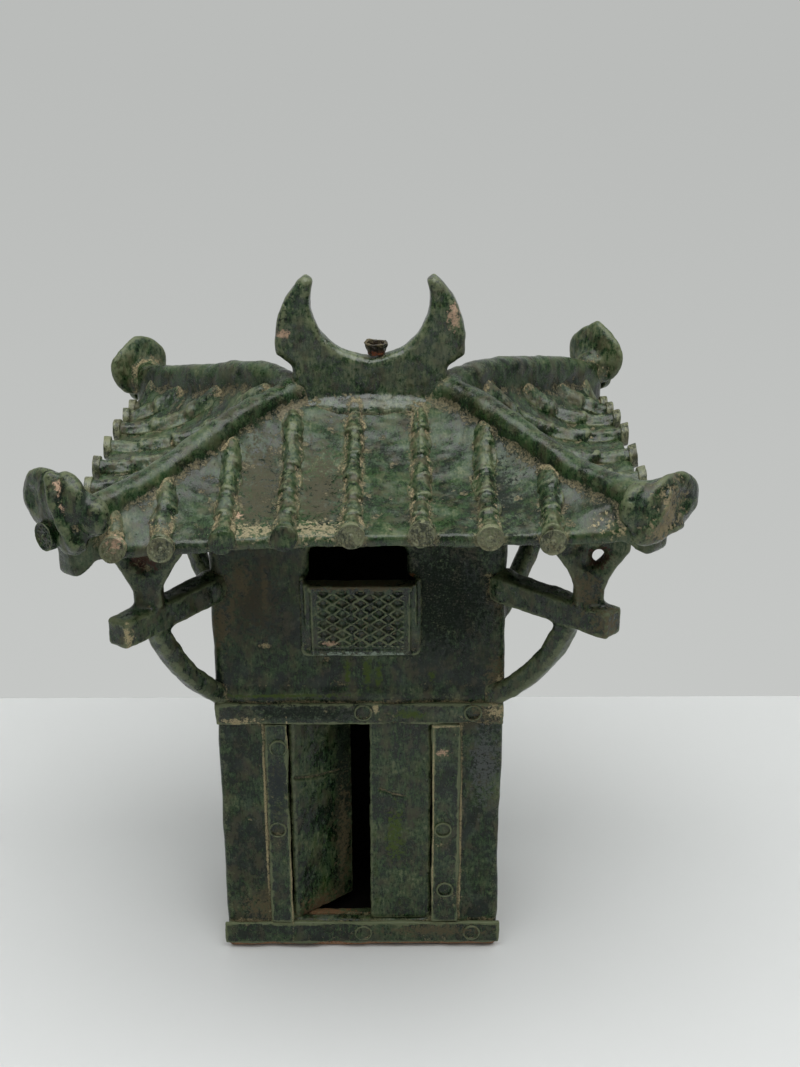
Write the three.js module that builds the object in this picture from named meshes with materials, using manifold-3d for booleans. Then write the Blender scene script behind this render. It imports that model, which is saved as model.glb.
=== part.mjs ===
import * as THREE from 'three';
import { mergeVertices } from 'three/addons/utils/BufferGeometryUtils.js';
import Module from 'manifold-3d';

// Upper part of a green glazed pottery watchtower, built from clay slabs, strips and rolls.
// Millimetres. X runs to the right, the doorway faces -Y and the foot stands on z = 0.
// The origin is below the middle of the roof.

const wasm = await Module();
wasm.setup();

// Clearances
const gap = 0.3;
const leafGap = 0.5;
const pinGap = 0.3;

// Body
const bodyShift = -4.5;
const bodyWidth = 198;
const bodyDepth = 113;
const wallThickness = 8.5;
const lowerWallHeight = 208.7;
const lipHeight = 4;
const lipProud = 1.5;

// Doorway and its strips
const doorwayWidth = 101;
const doorwaySill = 23;
const headBelowSeam = 19.2;
const stripProud = 3;
const sillBandFoot = 5;
const sillBandOverhang = 2;
const lintelBandHeight = 16;
const leftJambWidth = 15.7;
const rightJambWidth = 19.9;
const thresholdDepth = 6.7;
const thresholdOverlap = 8;
const floorBottom = 4;
const floorThickness = 8;

// Door leaves
const leafThickness = 5;
const leftLeafWidth = 53;
const rightLeafWidth = 43.5;
const leftLeafOpenDegrees = 40;
const pinRadius = 1.8;
const pinLength = 4;
const pinSides = 12;

// Window
const windowShift = 1.5;
const panelWidth = 75;
const panelHeight = 54;
const panelBackThickness = 4;
const panelBorderRise = 3;
const panelTiltDegrees = 8;
const panelFootProud = 0.6;
const sillAboveSeam = 35.3;
const windowHeight = 78;
const latticeWidth = 57;
const latticeHeight = 42;
const latticeLift = 2.5;
const latticeShift = 0.8;
const latticeCellWidth = 12.4;
const latticeCellHeight = 8.2;
const latticeBar = 1.5;
const latticeRise = 1.6;

// Roof
const eaveSideOverhang = 75;
const eaveFrontOverhang = 76;
const eaveTop = 361;
const ridgeBase = 411;
const ridgeLength = 100;
const ridgeShift = 4;
const roofSag = 10;
const slabThickness = 9;
const slopeRows = 7;
const slopeMitre = 0.25;

// Main ridge with its crescent horns; the rises are from the top of the roof's slopes
const hornInnerRadius = 39.4;
const hornInnerRise = 64.4;
const hornInnerTipDegrees = 17.9;
const hornOuterRadius = 63.1;
const hornOuterRise = 34;
const hornOuterTipDegrees = 42.3;
const hornOuterFootDegrees = -6.4;
const hornTipRound = 3.5;
const hornNotchRise = 19;
const hornNotchHalfWidth = 51.5;
const ridgeThickness = 15;
const ridgeBevel = 3;
const stubOffset = 3.8;
const stubHeight = 8;
const stubFootRadius = 6;
const stubHeadRadius = 8.5;

// Hip ridges: for each corner, one height above the roof's arris at each station down the hip
const hipHalfWidth = 8;
const hipStations = [0.04, 0.2, 0.35, 0.5, 0.65, 0.8, 0.92];
const hipRises = [
  [13, 21, 24, 23, 21, 22, 25],
  [14, 23, 26, 25, 23, 24, 26],
  [17, 30, 35, 36, 35, 34, 32],
  [17, 31, 37, 40, 40, 38, 34],
];
const hipSkirt = 16;
const hipEdge = 5;
const neckHalfWidth = 10;
const neckRise = 35;
const neckDrop = 13;

// Upright leaves at the roof's corners: front left, front right, rear left, rear right
const leafWidths = [53, 53, 48, 48];
const leafHeights = [43, 42, 48, 51];
const leafLifts = [3, 2, 5, 13];
const leafOutsets = [9, 9, -1, 0];
const leafFrontOutset = 6.5;
const leafPlateThickness = 8;
const leafPlateBevel = 1.5;

// Tile rolls and their end discs; the front rolls are measured from the eave's left end, and the
// side rolls from the middle of the roof
const rollHalfWidth = 4.8;
const rollHeight = 7;
const rollTaper = 0.8;
const rollTileLength = 24;
const rollTop = 0.085;
const rollHipMargin = 0.13;
const discRadius = 8.3;
const discThickness = 5;
const discDrop = 3;
const discSides = 14;
const rearRollSink = 0.9;
const frontRollInsets = [23.6, 52.5, 89.6, 127.1, 167.5, 210.3, 251.4, 289.5];
const leftRolls = [-92, -63, -30, 10, 50, 82, 108];
const rightRolls = [-64, -24, 20, 56, 84, 108];

// Brackets under the roof's corners, in the leaves' order where there are four values
const bracketDegrees = [54, 41, 45, 45];
const yokeReaches = [56, 65, 61, 61];
const beamWidth = 16;
const beamHeight = 18;
const beamBottom = 283;
const beamLength = 85;
const beamRoot = 14;
const strutWidth = 13;
const strutFootRise = 2.3;
const strutReach = 54;
const strutBulge = 9;
const yokeThickness = 13;
const yokeTrunkHalfWidth = 9;
const yokeTrunkHeight = 11;
const yokeSpread = 24;
const yokeArmWidth = 12;
const yokeNotchHeight = 25;
const yokeArmHeight = 37;
const yokeBevel = 1.5;

// Values that follow from the ones above
const bodyFront = -bodyDepth / 2;
const bodyInside = bodyFront + wallThickness;
const wallMiddle = bodyFront + wallThickness / 2;
const upperWallBottom = lowerWallHeight + gap;
const doorwayHead = lowerWallHeight - headBelowSeam;
const windowSill = lowerWallHeight + sillAboveSeam;
const windowHead = windowSill + windowHeight;
const leafBottom = doorwaySill + leafGap;
const leafTop = doorwayHead - leafGap;
const hingeX = doorwayWidth / 2 - leafGap - leafThickness / 2;
const eaveHalfWidth = bodyWidth / 2 + eaveSideOverhang;
const eaveHalfDepth = bodyDepth / 2 + eaveFrontOverhang;
const ridgeHalf = ridgeLength / 2;
const leftRun = eaveHalfWidth + ridgeShift - ridgeHalf;
const rightRun = eaveHalfWidth - ridgeShift - ridgeHalf;
const frontRolls = frontRollInsets.map((inset) => inset - eaveHalfWidth);
const skyHeight = 2 * ridgeBase;
const farOut = 2 * eaveHalfWidth;
const diagonal = Math.SQRT1_2;
const corners = [
  { name: 'front_left', index: 0, sideX: -1, sideY: -1 },
  { name: 'front_right', index: 1, sideX: 1, sideY: -1 },
  { name: 'rear_left', index: 2, sideX: -1, sideY: 1 },
  { name: 'rear_right', index: 3, sideX: 1, sideY: 1 },
];

// Finishes
const darkGlaze = new THREE.MeshStandardMaterial({ color: 0x2c3b2a, roughness: 0.35, metalness: 0 });
const greenGlaze = new THREE.MeshStandardMaterial({ color: 0x3d5237, roughness: 0.38, metalness: 0 });
const paleGlaze = new THREE.MeshStandardMaterial({ color: 0x6b7558, roughness: 0.5, metalness: 0 });
const bareClay = new THREE.MeshStandardMaterial({ color: 0x8a5a3a, roughness: 0.85, metalness: 0 });

const radians = (degrees) => degrees * Math.PI / 180;

// Solids and meshes
function solidOf(geometry) {
  const bare = geometry.clone();
  bare.deleteAttribute('normal');
  bare.deleteAttribute('uv');
  const merged = mergeVertices(bare, 1e-4);
  return new wasm.Manifold(new wasm.Mesh({
    numProp: 3,
    vertProperties: merged.attributes.position.array,
    triVerts: Uint32Array.from(merged.index.array),
  }));
}

function geometryOf(solid) {
  const mesh = solid.getMesh();
  const geometry = new THREE.BufferGeometry();
  geometry.setAttribute('position', new THREE.BufferAttribute(mesh.vertProperties, 3));
  geometry.setIndex(new THREE.BufferAttribute(mesh.triVerts, 1));
  geometry.computeVertexNormals();
  return geometry;
}

function joined(...geometries) {
  return geometryOf(geometries.map(solidOf).reduce((whole, next) => whole.add(next)));
}

function cut(geometry, ...cutters) {
  return geometryOf(cutters.map(solidOf).reduce((whole, next) => whole.subtract(next), solidOf(geometry)));
}

// A box between two corners
function block(low, high) {
  const geometry = new THREE.BoxGeometry(high[0] - low[0], high[1] - low[1], high[2] - low[2]);
  return geometry.translate((low[0] + high[0]) / 2, (low[1] + high[1]) / 2, (low[2] + high[2]) / 2);
}

// An upright cylinder from one height to another
function post(x, y, bottom, top, radius, sides) {
  const geometry = new THREE.CylinderGeometry(radius, radius, top - bottom, sides);
  return geometry.rotateX(Math.PI / 2).translate(x, y, (bottom + top) / 2);
}

// A shape drawn in X and Z, given a thickness either side of y = 0
function plate(shape, thickness, bevel, curveSegments) {
  const geometry = new THREE.ExtrudeGeometry(shape, {
    depth: thickness - 2 * bevel,
    bevelEnabled: bevel > 0,
    bevelThickness: bevel,
    bevelSize: bevel,
    bevelOffset: -bevel,
    bevelSegments: 1,
    curveSegments,
  });
  return geometry.translate(0, 0, -(thickness - 2 * bevel) / 2).rotateX(Math.PI / 2);
}

// A closed solid through rings of points; every ring has the same number of points
function loft(rings) {
  const count = rings[0].length;
  const positions = [];
  const triangles = [];
  for (const ring of rings) {
    for (const point of ring) positions.push(...point);
  }
  const capCentre = (ring) => {
    const centre = [0, 1, 2].map((axis) => ring.reduce((sum, point) => sum + point[axis], 0) / count);
    positions.push(...centre);
    return positions.length / 3 - 1;
  };
  for (let i = 0; i + 1 < rings.length; i += 1) {
    for (let j = 0; j < count; j += 1) {
      const a = i * count + j;
      const b = i * count + (j + 1) % count;
      triangles.push(a, b, b + count, a, b + count, a + count);
    }
  }
  const first = capCentre(rings[0]);
  const last = capCentre(rings[rings.length - 1]);
  const lastRing = (rings.length - 1) * count;
  for (let j = 0; j < count; j += 1) {
    const next = (j + 1) % count;
    triangles.push(first, next, j, last, lastRing + j, lastRing + next);
  }
  if (volumeOf(positions, triangles) < 0) triangles.reverse();
  const geometry = new THREE.BufferGeometry();
  geometry.setAttribute('position', new THREE.Float32BufferAttribute(positions, 3));
  geometry.setIndex(triangles);
  geometry.computeVertexNormals();
  return geometry;
}

function volumeOf(positions, triangles) {
  const corner = (index) => new THREE.Vector3().fromArray(positions, 3 * index);
  let sum = 0;
  for (let i = 0; i < triangles.length; i += 3) {
    const [a, b, c] = [corner(triangles[i]), corner(triangles[i + 1]), corner(triangles[i + 2])];
    sum += a.dot(b.cross(c));
  }
  return sum / 6;
}

// Height of the roof's top surface, faceted in equal rows from the ridge (0) to the eave (1)
function roofCurve(t) {
  return ridgeBase - (ridgeBase - eaveTop) * t - 4 * roofSag * t * (1 - t);
}

function roofHeight(t) {
  const row = Math.min(Math.max(Math.floor(t * slopeRows), 0), slopeRows - 1);
  const share = t * slopeRows - row;
  return roofCurve(row / slopeRows) * (1 - share) + roofCurve((row + 1) / slopeRows) * share;
}

// Plan of the roof at one row: left and right ends and half the depth
function roofPlan(t) {
  return {
    left: ridgeShift - ridgeHalf - leftRun * t,
    right: ridgeShift + ridgeHalf + rightRun * t,
    half: eaveHalfDepth * t,
  };
}

function planRing(t, z, grow) {
  const { left, right, half } = roofPlan(t);
  const depth = half + grow;
  const corner = (x, y) => [x, y, z];
  return [corner(left - grow, -depth), corner(right + grow, -depth),
    corner(right + grow, depth), corner(left - grow, depth)];
}

// Everything below the roof's surface, and everything above it, moved up by an offset
function belowRoof(offset) {
  const rings = [planRing(1, 0, gap)];
  for (let row = slopeRows; row >= 0; row -= 1) {
    const t = row / slopeRows;
    rings.push(planRing(t, roofHeight(t) + offset, gap));
  }
  return loft(rings);
}

function aboveRoof(offset) {
  const rings = [];
  for (let row = 0; row <= slopeRows; row += 1) {
    const t = row / slopeRows;
    rings.push(planRing(t, roofHeight(t) + offset, gap));
  }
  rings.push(planRing(1, skyHeight, gap));
  return loft(rings);
}

// Adds a named mesh to its group and cuts it, where it stands, by what it must clear
function addPiece(parent, name, geometry, material, place = {}, cutters = []) {
  const mesh = new THREE.Mesh(geometry, material);
  mesh.name = name;
  mesh.position.set(...(place.at ?? [0, 0, 0]));
  mesh.rotation.set(place.tilt ?? 0, 0, place.turn ?? 0);
  parent.add(mesh);
  mesh.updateWorldMatrix(true, false);
  if (cutters.length > 0) {
    const standing = cut(geometry.clone().applyMatrix4(mesh.matrixWorld), ...cutters);
    mesh.geometry = standing.applyMatrix4(mesh.matrixWorld.clone().invert());
  }
  return mesh;
}

const tower = new THREE.Group();
const body = new THREE.Group();
const roof = new THREE.Group();
body.position.x = bodyShift;
tower.add(body, roof);

const aboveSoffit = aboveRoof(-slabThickness - gap);

// Front wall below the lintel's top edge, with the doorway and four pivot holes
function lowerFrontWall() {
  const half = bodyWidth / 2;
  const holes = [-hingeX, hingeX].flatMap((x) => [
    post(x, wallMiddle, doorwaySill - pinLength - gap, doorwaySill + gap, pinRadius + pinGap, pinSides),
    post(x, wallMiddle, doorwayHead - gap, doorwayHead + pinLength + gap, pinRadius + pinGap, pinSides),
  ]);
  const doorway = block([-doorwayWidth / 2, bodyFront - 1, doorwaySill],
    [doorwayWidth / 2, bodyInside + 1, doorwayHead]);
  return cut(block([-half, bodyFront, 0], [half, bodyInside, lowerWallHeight]), doorway, ...holes);
}

// Front wall above the seam, with a lip along its foot and the window's cut-out
function upperFrontWall() {
  const half = bodyWidth / 2;
  const wall = block([-half, bodyFront, upperWallBottom], [half, bodyInside, ridgeBase]);
  const lip = block([-half, bodyFront - lipProud, upperWallBottom],
    [half, bodyFront + lipProud, upperWallBottom + lipHeight]);
  const halfCut = panelWidth / 2 + leafGap;
  const cutOut = block([windowShift - halfCut, bodyFront - 1, windowSill],
    [windowShift + halfCut, bodyInside + 1, windowHead]);
  return cut(joined(wall, lip), cutOut);
}

function sideWall(side) {
  const outer = side * bodyWidth / 2;
  const inner = outer - side * wallThickness;
  const reach = -bodyInside - gap;
  return block([Math.min(outer, inner), -reach, 0], [Math.max(outer, inner), reach, ridgeBase]);
}

// A flat strip luted to the front of the body
function strip(left, right, bottom, top) {
  return block([left, bodyFront - gap - stripProud, bottom], [right, bodyFront - gap, top]);
}

// A door leaf along +X from its pivot, with a round heel and a pin at each end
function doorLeaf(width) {
  const radius = leafThickness / 2;
  const outline = new THREE.Shape();
  outline.moveTo(0, -radius);
  outline.lineTo(width - radius, -radius);
  outline.lineTo(width - radius, radius);
  outline.lineTo(0, radius);
  outline.absarc(0, 0, radius, Math.PI / 2, Math.PI * 1.5, false);
  const slab = new THREE.ExtrudeGeometry(outline, {
    depth: leafTop - leafBottom, bevelEnabled: false, curveSegments: 6,
  });
  const pins = [
    post(0, 0, doorwaySill - pinLength, leafBottom + 1, pinRadius, pinSides),
    post(0, 0, leafTop - 1, doorwayHead + pinLength, pinRadius, pinSides),
  ];
  return joined(slab.translate(0, 0, leafBottom), ...pins);
}

// The moulded window panel: a back, a raised border and a diamond lattice in its recess
function windowPanel() {
  const half = panelWidth / 2;
  const back = block([-half, 0, 0], [half, panelBackThickness, panelHeight]);
  const left = latticeShift - latticeWidth / 2;
  const right = left + latticeWidth;
  const bottom = latticeLift + latticeBar;
  const top = bottom + latticeHeight;
  const recess = block([left, -panelBorderRise - 1, bottom], [right, 0, top]);
  const border = cut(block([-half, -panelBorderRise, 0], [half, 1, panelHeight]), recess);
  const middle = (bottom + top) / 2;
  const pitch = latticeCellHeight / latticeCellWidth;
  const angle = Math.atan(pitch);
  const reach = latticeWidth;
  const lines = Math.ceil((latticeHeight / latticeCellHeight + latticeWidth / latticeCellWidth) / 2);
  const bars = [];
  for (const side of [-1, 1]) {
    for (let line = -lines; line <= lines; line += 1) {
      const bar = block([-reach, -latticeRise, -latticeBar / 2], [reach, 1, latticeBar / 2]);
      bars.push(bar.rotateY(side * angle).translate(latticeShift, 0, middle + line * latticeCellHeight));
    }
  }
  const inside = solidOf(block([left - 1, -latticeRise - 1, bottom - 1], [right + 1, 1, top + 1]));
  const lattice = geometryOf(bars.map(solidOf).reduce((whole, next) => whole.add(next)).intersect(inside));
  return joined(back, border, lattice);
}

// One roof slope as a bent slab; its rows run from the ridge or the hip's top to the eave
function slopeSlab(rows) {
  return loft(rows.map(({ from, to, t }) => {
    const top = roofHeight(t);
    const bottom = top - slabThickness;
    return [[...from, bottom], [...to, bottom], [...to, top], [...from, top]];
  }));
}

function frontSlope(side) {
  const rows = [];
  for (let row = 0; row <= slopeRows; row += 1) {
    const t = row / slopeRows;
    const { left, right, half } = roofPlan(t);
    const y = side * Math.max(half, gap / 2);
    rows.push({ from: [left + slopeMitre, y], to: [right - slopeMitre, y], t });
  }
  return slopeSlab(rows);
}

function sideSlope(side) {
  const rows = [];
  for (let row = 0; row <= slopeRows; row += 1) {
    const t = Math.max(row / slopeRows, hipStations[0]);
    const { left, right, half } = roofPlan(t);
    const x = side < 0 ? left : right;
    rows.push({ from: [x, slopeMitre - half], to: [x, half - slopeMitre], t });
  }
  return slopeSlab(rows);
}

// A tile roll running down along -Y from y = 0, as overlapping tiles with an end disc
function tileRoll(run, start) {
  const length = (1 - start) * run;
  const tiles = Math.max(1, Math.round(length / rollTileLength));
  const ring = (t, grow) => {
    const half = rollHalfWidth * grow;
    const low = roofHeight(Math.min(t, 1)) + gap;
    const high = low + rollHeight * grow;
    const shoulder = low + rollHeight * grow * 0.6;
    const y = -t * run;
    return [[-half, y, low], [half, y, low], [half, y, shoulder], [half / 2, y, high],
      [-half / 2, y, high], [-half, y, shoulder]];
  };
  const rings = [];
  const step = (1 - start) / tiles;
  const lapStep = 0.5 / run;
  for (let tile = 0; tile < tiles; tile += 1) {
    const top = start + tile * step;
    rings.push(ring(top, rollTaper));
    rings.push(ring(top + step - (tile + 1 < tiles ? lapStep : 0), 1));
  }
  const overhang = 1 + (gap + discThickness / 2) / run;
  rings.push(ring(overhang, 1));
  return joined(loft(rings), endDisc().translate(0, -run - gap - discThickness / 2, eaveTop - discDrop));
}

// A stamped disc facing -Y about the origin
function endDisc() {
  const disc = new THREE.CylinderGeometry(discRadius, discRadius, discThickness, discSides);
  return disc.rotateY(Math.PI / discSides);
}

// Where a roll starts below the ridge or the hip
function frontRollStart(x) {
  const run = x < ridgeShift ? leftRun : rightRun;
  const hip = (Math.abs(x - ridgeShift) - ridgeHalf) / run;
  return Math.max(rollTop, hip + rollHipMargin);
}

function sideRollStart(y) {
  return Math.max(rollTop + hipStations[0], Math.abs(y) / eaveHalfDepth + rollHipMargin);
}

// Where the foot of a corner's leaf stands
function leafPlace({ index, sideX, sideY }) {
  return [sideX * (eaveHalfWidth + leafOutsets[index]), sideY * (eaveHalfDepth + leafFrontOutset),
    eaveTop + leafLifts[index]];
}

// A hip ridge from the main ridge to the back of the corner leaf
function hipRidge({ index, sideX, sideY }) {
  const run = sideX < 0 ? leftRun : rightRun;
  const length = Math.hypot(run, eaveHalfDepth);
  const across = [-sideY * eaveHalfDepth / length, sideX * run / length];
  const ring = (x, y, normal, half, low, high) => {
    const at = (s, z) => [x + s * normal[0], y + s * normal[1], z];
    return [at(-half, low), at(half, low), at(half, high - hipEdge), at(half / 2, high),
      at(-half / 2, high), at(-half, high - hipEdge)];
  };
  const rings = hipStations.map((t, i) => {
    const x = ridgeShift + sideX * (ridgeHalf + run * t);
    const height = roofHeight(t);
    const top = height + hipRises[index][i];
    return ring(x, sideY * eaveHalfDepth * t, across, hipHalfWidth, height - hipSkirt, top);
  });
  const back = leafPlateThickness / 2 + gap;
  const [leafX, leafY] = leafPlace({ index, sideX, sideY });
  const neckX = leafX - sideX * back * diagonal;
  const neckY = leafY - sideY * back * diagonal;
  const square = [-sideY * diagonal, sideX * diagonal];
  rings.push(ring(neckX, neckY, square, neckHalfWidth, eaveTop - neckDrop, eaveTop + neckRise));
  return loft(rings);
}

// A spade-shaped leaf standing upright, drawn in X and Z about its foot
function cornerLeaf({ index }) {
  const half = leafWidths[index] / 2;
  const leafHeight = leafHeights[index];
  const shape = new THREE.Shape();
  shape.moveTo(-half * 0.4, 0);
  shape.lineTo(half * 0.4, 0);
  shape.bezierCurveTo(half * 1.05, leafHeight * 0.1, half * 1.25, leafHeight * 0.6,
    half * 0.45, leafHeight * 0.9);
  shape.lineTo(0, leafHeight);
  shape.lineTo(-half * 0.45, leafHeight * 0.9);
  shape.bezierCurveTo(-half * 1.25, leafHeight * 0.6, -half * 1.05, leafHeight * 0.1,
    -half * 0.4, 0);
  return plate(shape, leafPlateThickness, leafPlateBevel, 6);
}

// The stamped disc that ends the hip, on the outer face of the leaf's foot
function hipDisc() {
  return endDisc().translate(0, -leafPlateThickness / 2 - discThickness / 2 + leafPlateBevel, discRadius);
}

// The main ridge and its two horns in one outline, drawn in X and Z about the ridge's middle
function crescentRidge() {
  const outerCentre = ridgeBase + hornOuterRise;
  const innerCentre = ridgeBase + hornInnerRise;
  const outerTip = radians(hornOuterTipDegrees);
  const outerFoot = radians(hornOuterFootDegrees);
  const innerTip = radians(hornInnerTipDegrees);
  const notch = ridgeBase + hornNotchRise;
  const shape = new THREE.Shape();
  shape.moveTo(-hornNotchHalfWidth, eaveTop);
  shape.lineTo(hornNotchHalfWidth, eaveTop);
  shape.lineTo(hornNotchHalfWidth, notch);
  shape.absarc(0, outerCentre, hornOuterRadius, outerFoot, outerTip, false);
  const tipX = (Math.cos(outerTip) * hornOuterRadius + Math.cos(innerTip) * hornInnerRadius) / 2;
  const tipTop = innerCentre + Math.sin(innerTip) * hornInnerRadius + hornTipRound;
  shape.lineTo(tipX, tipTop);
  shape.absarc(0, innerCentre, hornInnerRadius, innerTip, Math.PI - innerTip, true);
  shape.lineTo(-tipX, tipTop);
  shape.absarc(0, outerCentre, hornOuterRadius, Math.PI - outerTip, Math.PI - outerFoot, false);
  shape.lineTo(-hornNotchHalfWidth, notch);
  return plate(shape, ridgeThickness, ridgeBevel, 12);
}

// The broken foot of an ornament, standing in the valley between the horns
function ridgeStub() {
  const reach = stubOffset + stubFootRadius;
  const seat = ridgeBase + hornInnerRise - Math.sqrt(hornInnerRadius ** 2 - reach ** 2) + gap;
  const profile = [
    new THREE.Vector2(0, 0),
    new THREE.Vector2(stubFootRadius, 0),
    new THREE.Vector2(stubFootRadius, stubHeight * 0.4),
    new THREE.Vector2(stubHeadRadius, stubHeight * 0.7),
    new THREE.Vector2(stubHeadRadius, stubHeight),
    new THREE.Vector2(0, stubHeight),
  ];
  return new THREE.LatheGeometry(profile, 10).rotateX(Math.PI / 2).translate(0, 0, seat);
}

// A beam lying along +X from the body's corner, and the strut below it
function beam() {
  const half = beamWidth / 2;
  return block([-beamRoot, -half, beamBottom], [beamLength, half, beamBottom + beamHeight]);
}

function strut() {
  const half = strutWidth / 2;
  const corner = half * 0.35;
  const section = new THREE.Shape([
    [-half, -half + corner], [-half + corner, -half], [half - corner, -half], [half, -half + corner],
    [half, half - corner], [half - corner, half], [-half + corner, half], [-half, half - corner],
  ].map(([x, y]) => new THREE.Vector2(x, y)));
  const foot = new THREE.Vector3(-strutWidth, 0, lowerWallHeight + strutFootRise - strutWidth / 2);
  const head = new THREE.Vector3(strutReach, 0, beamBottom + strutWidth / 2);
  const chord = head.clone().sub(foot).normalize();
  const outward = new THREE.Vector3(chord.z, 0, -chord.x).multiplyScalar(2 * strutBulge);
  const middle = foot.clone().add(head).multiplyScalar(0.5).add(outward);
  const path = new THREE.QuadraticBezierCurve3(foot, middle, head);
  return new THREE.ExtrudeGeometry(section, { steps: 9, bevelEnabled: false, extrudePath: path });
}

// A forked bearer under the eave, drawn in X and Z about the foot of its trunk
function yoke() {
  const rise = ridgeBase - beamBottom - beamHeight;
  const armInside = yokeSpread - yokeArmWidth;
  const crotch = yokeArmWidth * 0.6;
  const trunkFlare = yokeTrunkHalfWidth * 1.5;
  const shape = new THREE.Shape();
  shape.moveTo(-yokeTrunkHalfWidth, 0);
  shape.lineTo(yokeTrunkHalfWidth, 0);
  shape.lineTo(yokeTrunkHalfWidth, yokeTrunkHeight);
  shape.quadraticCurveTo(trunkFlare, yokeNotchHeight, yokeSpread, yokeArmHeight);
  shape.lineTo(yokeSpread, rise);
  shape.lineTo(armInside, rise);
  shape.lineTo(armInside, yokeArmHeight);
  shape.quadraticCurveTo(crotch, yokeNotchHeight, 0, yokeNotchHeight);
  shape.quadraticCurveTo(-crotch, yokeNotchHeight, -armInside, yokeArmHeight);
  shape.lineTo(-armInside, rise);
  shape.lineTo(-yokeSpread, rise);
  shape.lineTo(-yokeSpread, yokeArmHeight);
  shape.quadraticCurveTo(-trunkFlare, yokeNotchHeight, -yokeTrunkHalfWidth, yokeTrunkHeight);
  return plate(shape, yokeThickness, yokeBevel, 4);
}

// Walls
addPiece(body, 'lower_front_wall', lowerFrontWall(), darkGlaze);
addPiece(body, 'upper_front_wall', upperFrontWall(), darkGlaze, {}, [aboveSoffit]);
addPiece(body, 'left_wall', sideWall(-1), darkGlaze, {}, [aboveSoffit]);
addPiece(body, 'right_wall', sideWall(1), darkGlaze, {}, [aboveSoffit]);
const rearWall = block([-bodyWidth / 2, -bodyInside, 0], [bodyWidth / 2, -bodyFront, ridgeBase]);
addPiece(body, 'rear_wall', rearWall, darkGlaze, {}, [aboveSoffit]);

// Strips on the front
const doorHalf = doorwayWidth / 2;
const bandHalf = bodyWidth / 2 + sillBandOverhang;
const lintelTop = doorwayHead + lintelBandHeight;
addPiece(body, 'sill_band', strip(-bandHalf, bandHalf, sillBandFoot, doorwaySill), greenGlaze);
addPiece(body, 'lintel_band', strip(-bodyWidth / 2, bodyWidth / 2, doorwayHead, lintelTop), greenGlaze);
addPiece(body, 'left_door_jamb',
  strip(-doorHalf - leftJambWidth, -doorHalf, doorwaySill + gap, doorwayHead - gap), greenGlaze);
addPiece(body, 'right_door_jamb',
  strip(doorHalf, doorHalf + rightJambWidth, doorwaySill + gap, doorwayHead - gap), greenGlaze);

// Floor slab inside the foot, with a ledge behind the doorway's sill
const floorFront = bodyInside + gap;
const floorHalf = bodyWidth / 2 - wallThickness - gap;
const thresholdHalf = doorHalf + thresholdOverlap;
const floor = block([-floorHalf, floorFront, floorBottom],
  [floorHalf, -floorFront, floorBottom + floorThickness]);
const threshold = block([-thresholdHalf, floorFront, floorBottom],
  [thresholdHalf, floorFront + thresholdDepth, doorwaySill - gap]);
addPiece(body, 'floor_slab', joined(floor, threshold), paleGlaze);

// Door leaves on their pivots
addPiece(body, 'left_door_leaf', doorLeaf(leftLeafWidth), greenGlaze,
  { at: [-hingeX, wallMiddle, 0], turn: radians(leftLeafOpenDegrees) });
addPiece(body, 'right_door_leaf', doorLeaf(rightLeafWidth), greenGlaze,
  { at: [hingeX, wallMiddle, 0], turn: Math.PI });

// Window panel, leaning forward from its foot, its border a little proud of the wall there
const panelTilt = radians(panelTiltDegrees);
const panelFoot = windowSill + gap + panelBorderRise * Math.sin(panelTilt);
const panelFace = bodyFront + panelBorderRise - panelFootProud;
addPiece(body, 'window_panel', windowPanel(), paleGlaze,
  { at: [windowShift, panelFace, panelFoot], tilt: panelTilt });

// Brackets at the four corners
const bracketClear = [
  block([bodyShift - bodyWidth / 2 - gap, bodyFront - gap, 0],
    [bodyShift + bodyWidth / 2 + gap, -bodyFront + gap, ridgeBase]),
  block([bodyShift - bodyWidth / 2 - gap, bodyFront - stripProud - 2 * gap, doorwayHead],
    [bodyShift + bodyWidth / 2 + gap, 0, lintelTop + gap]),
  block([bodyShift - bodyWidth / 2 - gap, bodyFront - lipProud - gap, lowerWallHeight],
    [bodyShift + bodyWidth / 2 + gap, 0, upperWallBottom + lipHeight + gap]),
];
const beamClear = block([-farOut, -farOut, beamBottom - gap], [farOut, farOut, ridgeBase]);
for (const { name, index, sideX, sideY } of corners) {
  const alongX = sideX * Math.cos(radians(bracketDegrees[index]));
  const alongY = sideY * Math.sin(radians(bracketDegrees[index]));
  const turn = Math.atan2(alongY, alongX);
  const at = [sideX * bodyWidth / 2, sideY * bodyDepth / 2, 0];
  addPiece(body, `${name}_strut`, strut(), greenGlaze, { at, turn }, [...bracketClear, beamClear]);
  addPiece(body, `${name}_beam`, beam(), greenGlaze, { at, turn }, bracketClear);
  const yokeAt = [at[0] + alongX * yokeReaches[index], at[1] + alongY * yokeReaches[index],
    beamBottom + beamHeight + gap];
  addPiece(body, `${name}_yoke`, yoke(), greenGlaze, { at: yokeAt }, [aboveSoffit]);
}

// Roof slopes; the rear slope carries its own plain rolls
addPiece(roof, 'front_slope', frontSlope(-1), greenGlaze);
const rearRolls = frontRolls.map((x) => {
  const roll = tileRoll(eaveHalfDepth, frontRollStart(x));
  return roll.translate(0, 2 * gap, -rearRollSink).rotateZ(Math.PI).translate(x, 0, 0);
});
addPiece(roof, 'rear_slope', joined(frontSlope(1), ...rearRolls), greenGlaze);
addPiece(roof, 'left_slope', sideSlope(-1), greenGlaze);
addPiece(roof, 'right_slope', sideSlope(1), greenGlaze);

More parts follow.
